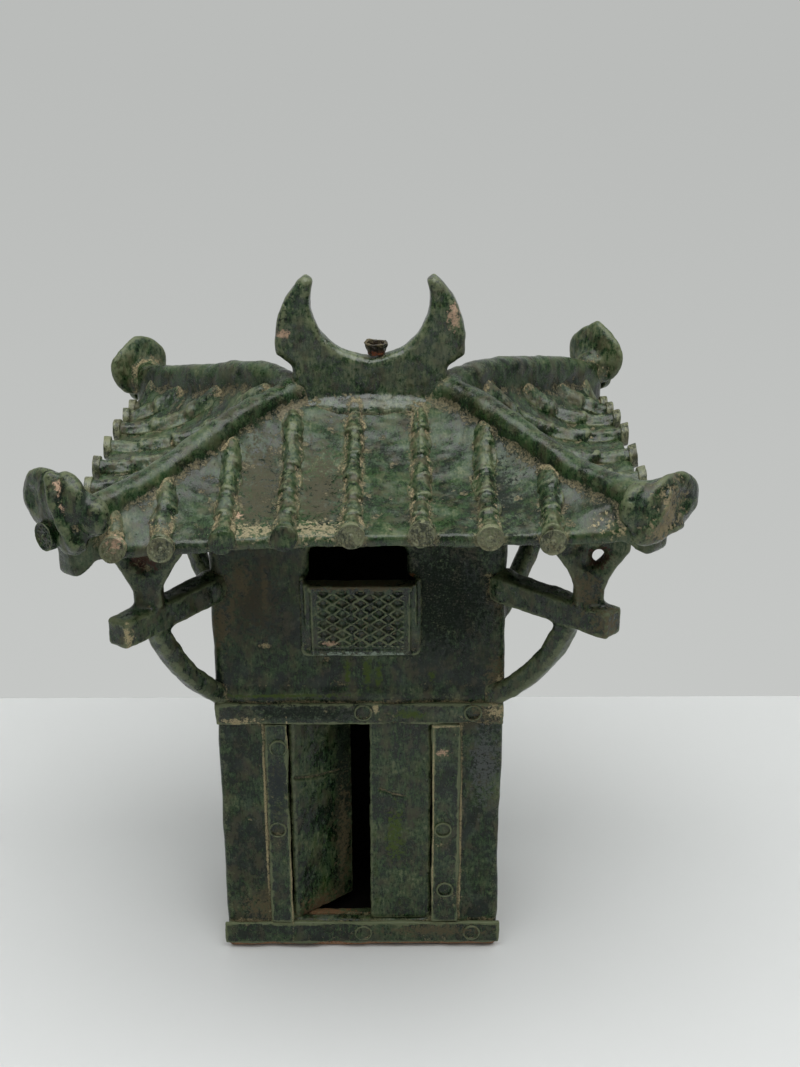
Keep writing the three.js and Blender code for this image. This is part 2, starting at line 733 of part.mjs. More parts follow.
// Main ridge, hips and corner leaves
const underRidge = belowRoof(gap);
addPiece(roof, 'crescent_ridge', crescentRidge(), greenGlaze, { at: [ridgeShift, 0, 0] }, [underRidge]);
addPiece(roof, 'ridge_ornament_stub', ridgeStub(), bareClay, { at: [ridgeShift + stubOffset, 0, 0] });
const ridgeBlock = block([ridgeShift - hornNotchHalfWidth - gap, -ridgeThickness / 2 - gap, 0],
  [ridgeShift + hornNotchHalfWidth + gap, ridgeThickness / 2 + gap, skyHeight]);
for (const corner of corners) {
  const { name, sideX, sideY } = corner;
  const nearEdge = -sideY * gap / 2;
  const farEdge = -sideY * farOut;
  const otherHalf = block([-farOut, Math.min(-nearEdge, farEdge), 0],
    [farOut, Math.max(-nearEdge, farEdge), skyHeight]);
  addPiece(roof, `${name}_hip_ridge`, hipRidge(corner), greenGlaze, {},
    [underRidge, ridgeBlock, otherHalf]);
  const at = leafPlace(corner);
  const turn = Math.atan2(sideY, sideX) + Math.PI / 2;
  addPiece(roof, `${name}_corner_leaf`, joined(cornerLeaf(corner), hipDisc()), greenGlaze, { at, turn });
}

// Tile rolls with their end discs
frontRolls.forEach((x, i) => {
  const roll = tileRoll(eaveHalfDepth, frontRollStart(x));
  addPiece(roof, `front_tile_roll_${i + 1}`, roll, paleGlaze, { at: [x, 0, 0] });
});
leftRolls.forEach((y, i) => {
  const roll = tileRoll(leftRun, sideRollStart(y));
  addPiece(roof, `left_tile_roll_${i + 1}`, roll, paleGlaze,
    { at: [ridgeShift - ridgeHalf, y, 0], turn: -Math.PI / 2 });
});
rightRolls.forEach((y, i) => {
  const roll = tileRoll(rightRun, sideRollStart(y));
  addPiece(roof, `right_tile_roll_${i + 1}`, roll, paleGlaze,
    { at: [ridgeShift + ridgeHalf, y, 0], turn: Math.PI / 2 });
});

export default tower;
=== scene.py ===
"""The looks of a green glazed pottery watchtower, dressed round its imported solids.

Laid out as an add-on: one operator for each piece or group of like pieces, and one for the stage.
Lengths are metres in the frame of the solids: X to the right, the doorway faces -Y, Z up.
"""

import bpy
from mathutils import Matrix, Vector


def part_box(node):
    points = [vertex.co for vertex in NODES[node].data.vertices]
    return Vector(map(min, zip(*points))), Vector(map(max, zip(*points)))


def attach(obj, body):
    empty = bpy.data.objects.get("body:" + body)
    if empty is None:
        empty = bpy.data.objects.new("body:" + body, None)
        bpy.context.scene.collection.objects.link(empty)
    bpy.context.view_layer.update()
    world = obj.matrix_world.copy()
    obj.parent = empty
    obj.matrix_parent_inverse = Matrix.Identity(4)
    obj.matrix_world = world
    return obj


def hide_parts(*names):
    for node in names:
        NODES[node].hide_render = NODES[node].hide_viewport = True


bl_info = {
    "name": "Pottery watchtower",
    "version": (1, 0, 0),
    "blender": (4, 5, 0),
    "location": "3D View > Sidebar > Watchtower",
    "description": "Builds the glazed surface, roof tiles and fittings of a pottery watchtower",
    "category": "Mesh",
}

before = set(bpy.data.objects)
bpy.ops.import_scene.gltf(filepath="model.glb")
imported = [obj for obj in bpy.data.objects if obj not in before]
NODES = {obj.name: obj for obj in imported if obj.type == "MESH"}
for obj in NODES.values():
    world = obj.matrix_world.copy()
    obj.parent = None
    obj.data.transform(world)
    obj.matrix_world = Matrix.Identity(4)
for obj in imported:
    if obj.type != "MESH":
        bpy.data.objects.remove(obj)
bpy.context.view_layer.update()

import math

import bmesh
import bpy
import numpy as np
from bpy.props import FloatProperty, FloatVectorProperty, IntProperty, PointerProperty
from mathutils import Euler, Matrix, Vector
from mathutils.bvhtree import BVHTree

MM = 0.001
CORNERS = ("front_left", "front_right", "rear_left", "rear_right")

# The photograph's camera
CAMERA_PLACE = (0.0184, -0.9563, 0.7027)
CAMERA_PITCH = 22.43
CAMERA_YAW = 0.32
CAMERA_LENS = 49.9
WALL_BEHIND = 0.325

# The roof's shape, as the solids have it
RIDGE_X = 0.004
RIDGE_HALF = 0.050
RIDGE_BASE = 0.411
EAVE_TOP = 0.361
ROOF_SAG = 0.010
EAVE_X = 0.174
EAVE_Y = 0.1325

# The body's front faces and its hollow, as the solids have them
WALL_FACE = -0.0565
STRIP_FACE = -60.2 * MM
INSIDE_LEFT = -0.0962
INSIDE_RIGHT = 0.0872
INSIDE_DEPTH = 0.0492
LEDGE_BACK = -41.5 * MM

# How far apart the drops of clay stand that make up a bead
DROP_STEP = 1.3 * MM

# The solids stand 0.3 mm apart, and this swelling makes those of one piece meet
MEETING = 0.35 * MM

# How high the clay swells at the front and rear hips, and how far down their flanks it reaches
FRONT_HIP = 19 * MM
REAR_HIP = 27 * MM
FLANK = 17 * MM

# Tile rolls: how deep a roll's head sinks in the clay of a hip in plain view and of any other, and the
# stretch over which it rises out; the level of the discs, and how far each front one sits above it in mm
SHOWN_HEAD = 2.5
SUNK_HEAD = 6
HEAD_RISE = 20 * MM
DISC_LEVEL = 358 * MM
FRONT_DISCS = (3.7, 1.5, 4.0, 3.7, 3.9, 5.1, 2.4, -1.0)
PLAIN_DISCS = (3, 4)
SIDE_LIFT = 4 * MM
REAR_LIFT = 3 * MM

# The window panel: its lean, slab and lattice field, and the glazed bead round the hole
PANEL_LEAN = math.radians(8)
PANEL_HEIGHT = 54 * MM
PANEL_SLAB = 7 * MM
PANEL_EDGE = 34.5 * MM
TOP_BAND = 4 * MM
FIELD_HALF = 28.6 * MM
FIELD_FOOT = 5.8 * MM
RIM_HALF = 38.9 * MM
RIM_FOOT = 243.6 * MM
RIM_HEAD = 299 * MM
RIM_BEND = 3 * MM
RIM_LEVEL = -56.6 * MM

# Face size of each piece's skin, and the clay that fills its inner corners
GRAIN = {"walls": 2.1 * MM, "strips": 0.75 * MM, "floor": 1.5 * MM, "doors": 0.85 * MM,
         "window": 0.6 * MM, "brackets": 1.1 * MM, "raw roof": 1.75 * MM, "roof": 1.9 * MM,
         "rolls": 0.8 * MM, "disc": 0.42 * MM, "plain disc": 0.5 * MM, "raw leaf": 1.0 * MM,
         "leaf": 0.9 * MM, "ridge": 0.95 * MM, "stub": 0.45 * MM}
FILLET = {"walls": 0.7 * MM, "window": 0.6 * MM, "brackets": 2.4 * MM, "roof": 3.2 * MM, "rolls": 0.7 * MM,
          "raw leaf": 3.0 * MM, "leaf": 1.2 * MM, "ridge": 2.5 * MM}

# Sizes in millimetres of the patterns in the finishes
PATTERN = {"clouds": 24.0, "mottle": 4.2, "streaks": 1.5, "strands": 4.0, "areas": 22.0, "wipes": 6.0,
           "grain": 1.3, "pits": 4.5, "smoke": 18.0, "soil": 9.0, "film": 10.0, "coarse": 6.0, "fine": 1.3,
           "ragged": 1.6, "chip": 3.0, "chip grain": 1.2}
BUMP_STRENGTH = 0.6

# A tile: its lip, and how much its head narrows and its mouth swells and closes
TILE_LIP = 3 * MM
HEAD_SHARE = 0.78
MOUTH_SHARE = 1.14
CLOSE_SHARE = 0.96

# An end disc: its rim, how deep its face lies, its ring of dots, its raised ring and its boss
DISC_RIM = 1.5 * MM
FACE_DEPTH = 1.1 * MM
DOT_CIRCLE = 5.3 * MM
DOT_RADII = (0.8 * MM, 0.75 * MM, 0.8 * MM)
DISC_RING = 3.5 * MM
RING_WIRE = 0.42 * MM
BOSS_RADII = (1.9 * MM, 1.2 * MM, 1.9 * MM)
PLAIN_RIM_SHARE = 0.3
PLAIN_SWELL = 0.8 * MM

# The stub of the broken ornament: its radius, its wall, its bore's depth and how far its foot draws in
STUB_RADIUS = 8.2 * MM
STUB_WALL = 2.4 * MM
STUB_BORE = 4.5 * MM
STUB_FOOT = 0.72

# Clay that lutes the brackets to the body: where each beam's root lies, and the lumps' radii
ROOT_LEFT = -0.1035
ROOT_RIGHT = 0.0945
ROOT_DEPTH = 0.0555
ROOT_LEVEL = 0.292
ROOT_LUMP = (11 * MM, 11 * MM, 13 * MM)
FOOT_LUMP = (9 * MM, 9 * MM, 12 * MM)
STRUT_FOOT = 8 * MM

# Each lamp's name, place, aim, width and power in watts
LAMPS = (("ceiling_lamp", (0.1, -0.15, 2.3), (0, -0.1, 0.2), 3.2, 118),
         ("front_lamp", (-0.9, -1.9, 1.1), (0, 0, 0.25), 0.8, 1.5))
ROOM_LIGHT = 0.16
ROOM_COLOUR = (0.8, 0.82, 0.82, 1)
STAGE_SIZE = 6


def rgb(red, green, blue):
    """A colour in linear light from its usual 0 to 255 values."""
    shares = (value / 255 for value in (red, green, blue))
    return tuple(s / 12.92 if s <= 0.04045 else ((s + 0.055) / 1.055) ** 2.4 for s in shares) + (1.0,)


# Colours of single places
DIRTY_WALL = rgb(60, 56, 42)
GREY_BLOOM = rgb(78, 82, 80)
FOOT_EARTH = rgb(92, 74, 52)
FLOOR_EARTH = rgb(108, 82, 58)
# Painted highlight: the pale olive on the window panel's top band, which the light from above falls on
LEDGE_HIGHLIGHT = rgb(84, 86, 56)
RUST = rgb(62, 34, 24)
UMBER = rgb(64, 62, 44)
EAVE_EARTH = rgb(134, 126, 98)
LEAF_EARTH = rgb(122, 112, 86)
DISC_SHADE = rgb(50, 56, 40)
DISC_FACE = rgb(118, 120, 92)
BURNT_CLAY = rgb(110, 60, 34)
DARK_CLAY = rgb(30, 24, 18)
BROWN_CLAY = rgb(62, 50, 38)


def colour_property(name, text, value):
    """A colour that a user can change."""
    return FloatVectorProperty(name=name, description=text, subtype="COLOR", size=4, min=0, max=1,
                               default=value)


def length_property(name, text, value):
    """A length that a user can change."""
    return FloatProperty(name=name, description=text, default=value, min=0, unit="LENGTH", precision=5)


class WatchtowerSizes(bpy.types.PropertyGroup):
    """Sizes of the hand-made surface"""
    lump: length_property("Lumps", "How far a hand-smoothed face swells and sinks", 1.3 * MM)
    left_eave_lift: length_property("Left eave lift", "Rise of the left eave's middle", 6 * MM)
    right_eave_lift: length_property("Right eave lift", "Rise of the right eave's middle", 12 * MM)
    corner_droop: length_property("Corner droop", "Fall of the front left corner", 10 * MM)
    corner_rise: length_property("Corner rise", "Rise of the front right corner", 3 * MM)
    roll_width: length_property("Roll width", "Width of a tile roll at a tile's mouth", 11.6 * MM)
    roll_height: length_property("Roll height", "Height of a tile roll at a tile's mouth", 7.2 * MM)
    tile_length: length_property("Tile length", "Length of one tile in a roll", 22 * MM)
    disc_radius: length_property("Disc radius", "Radius of a tile roll's end disc", 8.3 * MM)
    disc_thickness: length_property("Disc thickness", "Thickness of an end disc", 5 * MM)
    disc_dots: IntProperty(name="Disc dots", description="Dots in an end disc's ring", default=12, min=3)
    lattice_cell: length_property("Lattice cell", "Width of a diamond in the window's lattice", 12.4 * MM)
    lattice_row: length_property("Lattice row", "Height of a diamond in the window's lattice", 8.2 * MM)
    ring_radius: length_property("Ring radius", "Radius of a ring stamped in a strip", 5.6 * MM)


class WatchtowerColours(bpy.types.PropertyGroup):
    """Colours of the glaze, the clay and the stage"""
    deep: colour_property("Deep glaze", "Glaze where it lies thick", rgb(10, 24, 11))
    green: colour_property("Green glaze", "Glaze of common thickness", rgb(38, 63, 31))
    pale: colour_property("Thin glaze", "Glaze where it is thin and worn", rgb(94, 102, 72))
    olive: colour_property("Olive runs", "Yellowish runs of the glaze", rgb(60, 76, 22))
    bloom: colour_property("Bloom", "Silvery film on old lead glaze", rgb(126, 138, 124))
    dusk: colour_property("Dark bloom", "Bluish grey film on dark glaze", rgb(36, 43, 44))
    earth: colour_property("Earth", "Buff earth left in the joints", rgb(158, 146, 112))
    stain: colour_property("Stain", "Brownish earth stain over the glaze", rgb(84, 76, 54))
    clay: colour_property("Bare clay", "Clay where the glaze has chipped", rgb(176, 148, 124))
    orange: colour_property("Orange clay", "Clay that was never glazed", rgb(140, 88, 46))
    # Painted shade: this near-black colour stands for the dark inside the tower and behind its doorway, not
    # for the clay's own colour
    inside: colour_property("Inside", "Sooty clay inside the tower", rgb(10, 8, 6))
    floor: colour_property("Floor", "Table top", rgb(214, 216, 215))
    wall: colour_property("Wall", "Wall behind the table", rgb(199, 201, 199))


# Small tools for working on one object

def only(piece):
    """Leaves one object selected and active."""
    bpy.ops.object.select_all(action="DESELECT")
    piece.select_set(True)
    bpy.context.view_layer.objects.active = piece
    return piece


def apply_modifier(piece, kind, **settings):
    """Adds a modifier with its settings and applies it."""
    only(piece)
    modifier = piece.modifiers.new(kind.title(), kind)
    for key, value in settings.items():
        setattr(modifier, key, value)
    bpy.ops.object.modifier_apply(modifier=modifier.name)


def settle(piece, name):
    """Names a finished object and takes its place, turn and scale into its mesh."""
    only(piece)
    bpy.ops.object.transform_apply(location=True, rotation=True, scale=True)
    piece.name = name
    piece.data.name = name
    return piece


def block(name, low, high):
    """A box between two corners."""
    low, high = Vector(low), Vector(high)
    bpy.ops.mesh.primitive_cube_add(size=1, location=(low + high) / 2)
    piece = bpy.context.object
    piece.scale = high - low
    return settle(piece, name)


def ball(name, centre, radii, turn=0.0):
    """An egg-shaped lump of clay, turned about Z."""
    bpy.ops.mesh.primitive_uv_sphere_add(segments=24, ring_count=16, radius=1, location=centre)
    piece = bpy.context.object
    piece.scale = radii
    piece.rotation_euler.z = turn
    return settle(piece, name)


def join(name, pieces):
    """Joins objects into the first one."""
    only(pieces[0])
    for piece in pieces[1:]:
        piece.select_set(True)
    bpy.ops.object.join()
    pieces[0].name = name
    pieces[0].data.name = name
    return pieces[0]


def cut_by(piece, cutter, operation="DIFFERENCE"):
    """Cuts one object by another, or adds it, and deletes the cutter."""
    apply_modifier(piece, "BOOLEAN", operation=operation, solver="EXACT", object=cutter)
    bpy.data.objects.remove(cutter)


def cast_of(name, *nodes):
    """A merged copy of solids, as the start of the piece that takes their place."""
    mesh = bpy.data.meshes.new(name)
    shape = bmesh.new()
    for node in nodes:
        shape.from_mesh(NODES[node].data)
    bmesh.ops.remove_doubles(shape, verts=shape.verts, dist=1e-6)
    shape.to_mesh(mesh)
    shape.free()
    piece = bpy.data.objects.new(name, mesh)
    bpy.context.scene.collection.objects.link(piece)
    return piece


def copy_piece(piece, name):
    """A copy of an object with a mesh of its own."""
    twin = piece.copy()
    twin.data = piece.data.copy()
    twin.name = name
    twin.data.name = name
    bpy.context.scene.collection.objects.link(twin)
    return twin


def points_of(piece):
    """The places of an object's points, one row each."""
    points = np.empty(len(piece.data.vertices) * 3)
    piece.data.vertices.foreach_get("co", points)
    return points.reshape(-1, 3)


def move_points(piece, points):
    """Puts an object's points in new places."""
    piece.data.vertices.foreach_set("co", points.ravel())
    piece.data.update()


def normals_of(piece):
    """The normals at an object's points, one row each."""
    normals = np.empty(len(piece.data.vertices) * 3)
    piece.data.vertex_normals.foreach_get("vector", normals)
    return normals.reshape(-1, 3)


def ease(value):
    """A soft step from 0 to 1."""
    share = np.clip(value, 0, 1)
    return share * share * (3 - 2 * share)


# Clay: soft edges, lumps and the marks that the finishes read

def fuse(piece, grain, fillet=0.0):
    """Rebuilds closed shapes as one skin; a fillet fills the corners between them first."""
    if fillet > 0:
        apply_modifier(piece, "REMESH", mode="VOXEL", voxel_size=grain)
        apply_modifier(piece, "DISPLACE", strength=fillet, mid_level=0)
        apply_modifier(piece, "REMESH", mode="VOXEL", voxel_size=grain)
        apply_modifier(piece, "DISPLACE", strength=-fillet, mid_level=0)
    apply_modifier(piece, "REMESH", mode="VOXEL", voxel_size=grain)


def soften(piece, rounds):
    """Rubs the edges round."""
    apply_modifier(piece, "SMOOTH", factor=0.5, iterations=rounds)


def knead(piece, size, height):
    """Swells and sinks the surface as a hand leaves it, in lumps of a size."""
    lumps = bpy.data.textures.new("lumps", "CLOUDS")
    lumps.noise_scale = size
    lumps.noise_depth = 1
    apply_modifier(piece, "DISPLACE", texture=lumps, texture_coords="LOCAL", strength=height,
                   mid_level=0.5)
    bpy.data.textures.remove(lumps)


def rub(piece, sizes, rounds, *lumps):
    """Rubs the edges round and leaves lumps, each a size in millimetres and a share of the full height."""
    soften(piece, rounds)
    for size, share in lumps:
        knead(piece, size * MM, share * sizes.lump)


def write_mark(piece, name, values):
    """Writes a number at each point for the finishes to read."""
    mark = piece.data.attributes.get(name) or piece.data.attributes.new(name, "FLOAT", "POINT")
    mark.data.foreach_set("value", np.asarray(values, np.float32))


def mark_relief(piece, rounds=8):
    """Writes how far each point stands out of its smoothed surroundings, in millimetres."""
    mesh = piece.data
    points = points_of(piece)
    ends = np.empty(len(mesh.edges) * 2, int)
    mesh.edges.foreach_get("vertices", ends)
    first, second = ends.reshape(-1, 2).T
    here, there = np.r_[first, second], np.r_[second, first]
    count = np.maximum(np.bincount(here, minlength=len(points)), 1)
    smooth = points
    for _ in range(rounds):
        smooth = np.stack([np.bincount(here, weights=smooth[there, axis], minlength=len(points))
                           for axis in range(3)], 1) / count[:, None]
    write_mark(piece, "relief", ((points - smooth) * normals_of(piece)).sum(1) / MM)


def mark_joints(piece, own, reach=7 * MM):
    """Writes how near each point is to the other solids of the tower, 1 at the joint itself."""
    corners, faces = [], []
    for name, node in NODES.items():
        if name in own or "door_leaf" in name:
            continue
        start = len(corners)
        corners.extend(vertex.co for vertex in node.data.vertices)
        faces.extend([start + index for index in face.vertices] for face in node.data.polygons)
    tree = BVHTree.FromPolygons(corners, faces)
    near = []
    for point in points_of(piece):
        found = tree.find_nearest(Vector(point), reach)
        near.append(0.0 if found[3] is None else 1 - found[3] / reach)
    write_mark(piece, "joint", near)


def finish_piece(piece, material, body="tower", replaced=()):
    """Gives a piece its finish and its body, and hides the solids that it stands for."""
    only(piece)
    bpy.ops.object.shade_smooth()
    piece.data.materials.clear()
    piece.data.materials.append(material)
    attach(piece, body)
    if replaced:
        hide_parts(*replaced)
    return piece


# The roof's surface

def roof_share(x, y):
    """0 on the ridge and 1 at the eave."""
    run = np.where(x < RIDGE_X, EAVE_X + RIDGE_X, EAVE_X - RIDGE_X) - RIDGE_HALF
    side = (np.abs(x - RIDGE_X) - RIDGE_HALF) / run
    return np.maximum(np.maximum(side, np.abs(y) / EAVE_Y), 0)


def roof_height(share):
    """The height of the roof's sagging top, from the ridge at 0 to the eave at 1."""
    return RIDGE_BASE - (RIDGE_BASE - EAVE_TOP) * share - 4 * ROOF_SAG * share * (1 - share)


def hip_swell(points):
    """How high each hip's flank swells over the slopes at each point's place in plan."""
    x, y = points[:, 0], points[:, 1]
    run = np.where(x < RIDGE_X, EAVE_X + RIDGE_X, EAVE_X - RIDGE_X) - RIDGE_HALF
    side = (np.abs(x - RIDGE_X) - RIDGE_HALF) / run
    front = np.abs(y) / EAVE_Y
    away = np.abs(side - front) * run * EAVE_Y / np.hypot(run, EAVE_Y)
    share = np.maximum(side, front)
    crest = np.where(y < 0, FRONT_HIP, REAR_HIP)
    fade = ease((1.0 - share) / 0.1) * ease(share / 0.35 + 0.1) * (side > -0.15)
    return crest * fade * np.exp(-((away / FLANK) ** 1.2))


def warp_roof(piece, sizes):
    """Bends a piece of the roof as the potter's is bent: its sides rise and one front corner droops."""
    points = points_of(piece)
    x, y = points[:, 0], points[:, 1]
    share = np.clip(roof_share(x, y), 0, 1.05) ** 2
    across = np.clip((x - RIDGE_X) / EAVE_X, -1, 1)
    along = np.clip(y / EAVE_Y, -1, 1)
    side_middle = share * (1 - along ** 2)
    left, right = np.clip(-across, 0, 1) ** 2, np.clip(across, 0, 1) ** 2
    front = share * np.clip((-along - 0.2) / 0.8, 0, 1) ** 1.5
    droop = sizes.corner_droop * np.clip((-0.02 - x) / 0.154, 0, 1.1) ** 1.3
    rise = sizes.corner_rise * np.clip((x - 0.06) / 0.114, 0, 1.1) ** 2
    points[:, 2] += (sizes.left_eave_lift * left + sizes.right_eave_lift * right) * side_middle
    points[:, 2] += front * (rise - droop)
    points[:, 0] += side_middle * (right * 4 * MM - left * 2 * MM)
    move_points(piece, points)


# Finishes

def add_node(tree, kind, inputs=None, **settings):
    """Adds a shader node; an input that is a socket is linked, any other value is set."""
    node = tree.nodes.new(kind)
    for key, value in settings.items():
        setattr(node, key, value)
    for key, value in (inputs or {}).items():
        socket = node.inputs[key]
        if isinstance(value, bpy.types.NodeSocket):
            tree.links.new(value, socket)
        else:
            socket.default_value = value
    return node


def new_group(name, inputs, outputs):
    """An empty node group with named sockets, and its two end nodes."""
    tree = bpy.data.node_groups.new(name, "ShaderNodeTree")
    for label, kind, value in inputs:
        socket = tree.interface.new_socket(label, in_out="INPUT", socket_type=kind)
        if value is not None:
            socket.default_value = value
    for label, kind in outputs:
        tree.interface.new_socket(label, in_out="OUTPUT", socket_type=kind)
    return tree, tree.nodes.new("NodeGroupInput"), tree.nodes.new("NodeGroupOutput")


def maths(tree, operation, first, second=0.0, clamp=False):
    """One sum on two numbers or sockets."""
    return add_node(tree, "ShaderNodeMath", {0: first, 1: second}, operation=operation,
                    use_clamp=clamp).outputs[0]


def noise(tree, place, size, detail=3.0, rough=0.55, warp=0.0):
    """Cloudy noise whose lumps have a size in millimetres."""
    return add_node(tree, "ShaderNodeTexNoise", {"Vector": place, "Scale": 1 / size, "Detail": detail,
                    "Roughness": rough, "Distortion": warp}).outputs[0]


def ramp(tree, value, low, high):
    """0 below one level, 1 above another."""
    return add_node(tree, "ShaderNodeMapRange", {"Value": value, "From Min": low, "From Max": high},
                    interpolation_type="SMOOTHSTEP").outputs[0]


def blend(tree, factor, first, second):
    """A mix of two colours."""
    node = tree.nodes.new("ShaderNodeMix")
    node.data_type = "RGBA"
    for socket, value in zip((node.inputs[0], node.inputs[6], node.inputs[7]), (factor, first, second)):
        if isinstance(value, bpy.types.NodeSocket):
            tree.links.new(value, socket)
        else:
            socket.default_value = value
    return node.outputs[2]


def blend_value(tree, factor, first, second):
    """A mix of two numbers."""
    return add_node(tree, "ShaderNodeMix", {0: factor, 2: first, 3: second}).outputs[0]


def stretched(tree, place, scale):
    """A place scaled on each axis, to draw a pattern out along an axis of small scale."""
    return add_node(tree, "ShaderNodeVectorMath", {0: place, 1: scale}, operation="MULTIPLY").outputs[0]


def patch_group():
    """Ragged patches: noise cut at a level, broken up by finer noise."""
    tree, start, end = new_group(
        "Ragged patches",
        [("Place", "NodeSocketVector", None), ("Size", "NodeSocketFloat", 20.0),
         ("Level", "NodeSocketFloat", 0.55), ("Softness", "NodeSocketFloat", 0.06)],
        [("Mask", "NodeSocketFloat")])
    place, size, level, soft = (start.outputs[key] for key in ("Place", "Size", "Level", "Softness"))
    scale = maths(tree, "DIVIDE", 1.0, size)
    coarse = add_node(tree, "ShaderNodeTexNoise", {"Vector": place, "Scale": scale, "Detail": 5.0,
                      "Roughness": 0.62}).outputs[0]
    fine = noise(tree, place, PATTERN["ragged"], 3.0, 0.6)
    ragged = maths(tree, "ADD", coarse, maths(tree, "MULTIPLY", maths(tree, "SUBTRACT", fine, 0.5), 0.22))
    low, high = maths(tree, "SUBTRACT", level, soft), maths(tree, "ADD", level, soft)
    tree.links.new(ramp(tree, ragged, low, high), end.inputs["Mask"])
    return tree


def chip_group():
    """One chip or stain about a point, with a broken outline."""
    tree, start, end = new_group(
        "Chip",
        [("Place", "NodeSocketVector", None), ("Centre", "NodeSocketVector", None),
         ("Spread", "NodeSocketVector", (5.0, 5.0, 5.0)), ("Raggedness", "NodeSocketFloat", 0.7)],
        [("Mask", "NodeSocketFloat")])
    offset = add_node(tree, "ShaderNodeVectorMath", {0: start.outputs["Place"],
                      1: start.outputs["Centre"]}, operation="SUBTRACT").outputs[0]
    scaled = add_node(tree, "ShaderNodeVectorMath", {0: offset, 1: start.outputs["Spread"]},
                      operation="DIVIDE").outputs[0]
    far = add_node(tree, "ShaderNodeVectorMath", {0: scaled}, operation="LENGTH").outputs["Value"]
    rough = maths(tree, "SUBTRACT", noise(tree, start.outputs["Place"], PATTERN["chip"], 5.0, 0.7), 0.5)
    swing = maths(tree, "MULTIPLY", start.outputs["Raggedness"], 4.0)
    edge = maths(tree, "ADD", far, maths(tree, "MULTIPLY", rough, swing))
    inverse = maths(tree, "SUBTRACT", 1.0, ramp(tree, edge, 0.55, 1.1))
    grain = ramp(tree, noise(tree, start.outputs["Place"], PATTERN["chip grain"], 3.0, 0.65), 0.33, 0.5)
    tree.links.new(maths(tree, "MULTIPLY", inverse, grain), end.inputs["Mask"])
    return tree


def glaze_group():
    """Lead glaze: thick and thin clouds broken by mottling and streaks, with olive runs."""
    tree, start, end = new_group(
        "Lead glaze",
        [("Place", "NodeSocketVector", None), ("Deep", "NodeSocketColor", None),
         ("Green", "NodeSocketColor", None), ("Pale", "NodeSocketColor", None),
         ("Olive", "NodeSocketColor", None), ("Thickness", "NodeSocketFloat", 0.5),
         ("Runs", "NodeSocketFloat", 0.5), ("Contrast", "NodeSocketFloat", 1.0)],
        [("Color", "NodeSocketColor"), ("Thin", "NodeSocketFloat")])
    place = start.outputs["Place"]
    clouds = noise(tree, place, PATTERN["clouds"], 3.0, 0.6, 0.5)
    mottle = noise(tree, place, PATTERN["mottle"], 6.0, 0.85)
    streaks = noise(tree, stretched(tree, place, (1.0, 0.35, 0.28)), PATTERN["streaks"], 3.0, 0.7)
    rough = maths(tree, "ADD", maths(tree, "MULTIPLY", maths(tree, "SUBTRACT", mottle, 0.5), 1.5),
                  maths(tree, "SUBTRACT", streaks, 0.5))
    broken = maths(tree, "ADD", clouds, maths(tree, "MULTIPLY", rough, start.outputs["Contrast"]))
    level = maths(tree, "ADD", maths(tree, "MULTIPLY", start.outputs["Thickness"], 0.5), 0.25)
    thin = ramp(tree, broken, maths(tree, "SUBTRACT", level, 0.16), maths(tree, "ADD", level, 0.12))
    base = blend(tree, thin, start.outputs["Deep"], start.outputs["Green"])
    worn = ramp(tree, broken, maths(tree, "ADD", level, 0.07), maths(tree, "ADD", level, 0.34))
    base = blend(tree, worn, base, start.outputs["Pale"])
    strands = noise(tree, stretched(tree, place, (1.0, 1.0, 0.12)), PATTERN["strands"], 4.0, 0.65, 0.3)
    areas = noise(tree, place, PATTERN["areas"], 3.0, 0.6)
    runs = maths(tree, "MULTIPLY", ramp(tree, strands, 0.42, 0.7), ramp(tree, areas, 0.46, 0.66))
    base = blend(tree, maths(tree, "MULTIPLY", runs, start.outputs["Runs"]), base, start.outputs["Olive"])
    tree.links.new(base, end.inputs["Color"])
    tree.links.new(thin, end.inputs["Thin"])
    return tree


def skin_group():
    """The height of the hand-wiped and pitted surface, in millimetres."""
    tree, start, end = new_group("Hand-wiped skin", [("Place", "NodeSocketVector", None)],
                                 [("Height", "NodeSocketFloat")])
    place = start.outputs["Place"]
    wiped = noise(tree, stretched(tree, place, (1.0, 1.0, 0.35)), PATTERN["wipes"], 3.0, 0.55)
    grain = noise(tree, place, PATTERN["grain"], 3.0, 0.65)
    pits = add_node(tree, "ShaderNodeTexVoronoi",
                    {"Vector": place, "Scale": 1 / PATTERN["pits"]}).outputs["Distance"]
    sunk = maths(tree, "MULTIPLY", maths(tree, "SUBTRACT", ramp(tree, pits, 0.05, 0.2), 1.0), 0.35)
    height = maths(tree, "ADD", maths(tree, "MULTIPLY", wiped, 0.5), maths(tree, "MULTIPLY", grain, 0.22))
    tree.links.new(maths(tree, "ADD", height, sunk), end.inputs["Height"])
    return tree


GROUPS = {}


def new_material(name):
    """A material with an empty tree of nodes, and that tree."""
    material = bpy.data.materials.new(name)
    material.use_nodes = True
    material.node_tree.nodes.clear()
    return material, material.node_tree


def set_surface(tree, shader):
    """Gives a material its shader."""
    out = tree.nodes.new("ShaderNodeOutputMaterial")
    tree.links.new(shader, out.inputs["Surface"])


def use_group(tree, name, inputs):
    """Places a shared group in a material, building it the first time."""
    if name not in GROUPS:
        GROUPS[name] = {"patch": patch_group, "chip": chip_group, "glaze": glaze_group,
                        "skin": skin_group}[name]()
    node = tree.nodes.new("ShaderNodeGroup")
    node.node_tree = GROUPS[name]
    for key, value in inputs.items():
        if isinstance(value, bpy.types.NodeSocket):
            tree.links.new(value, node.inputs[key])
        else:
            node.inputs[key].default_value = value
    return node.outputs


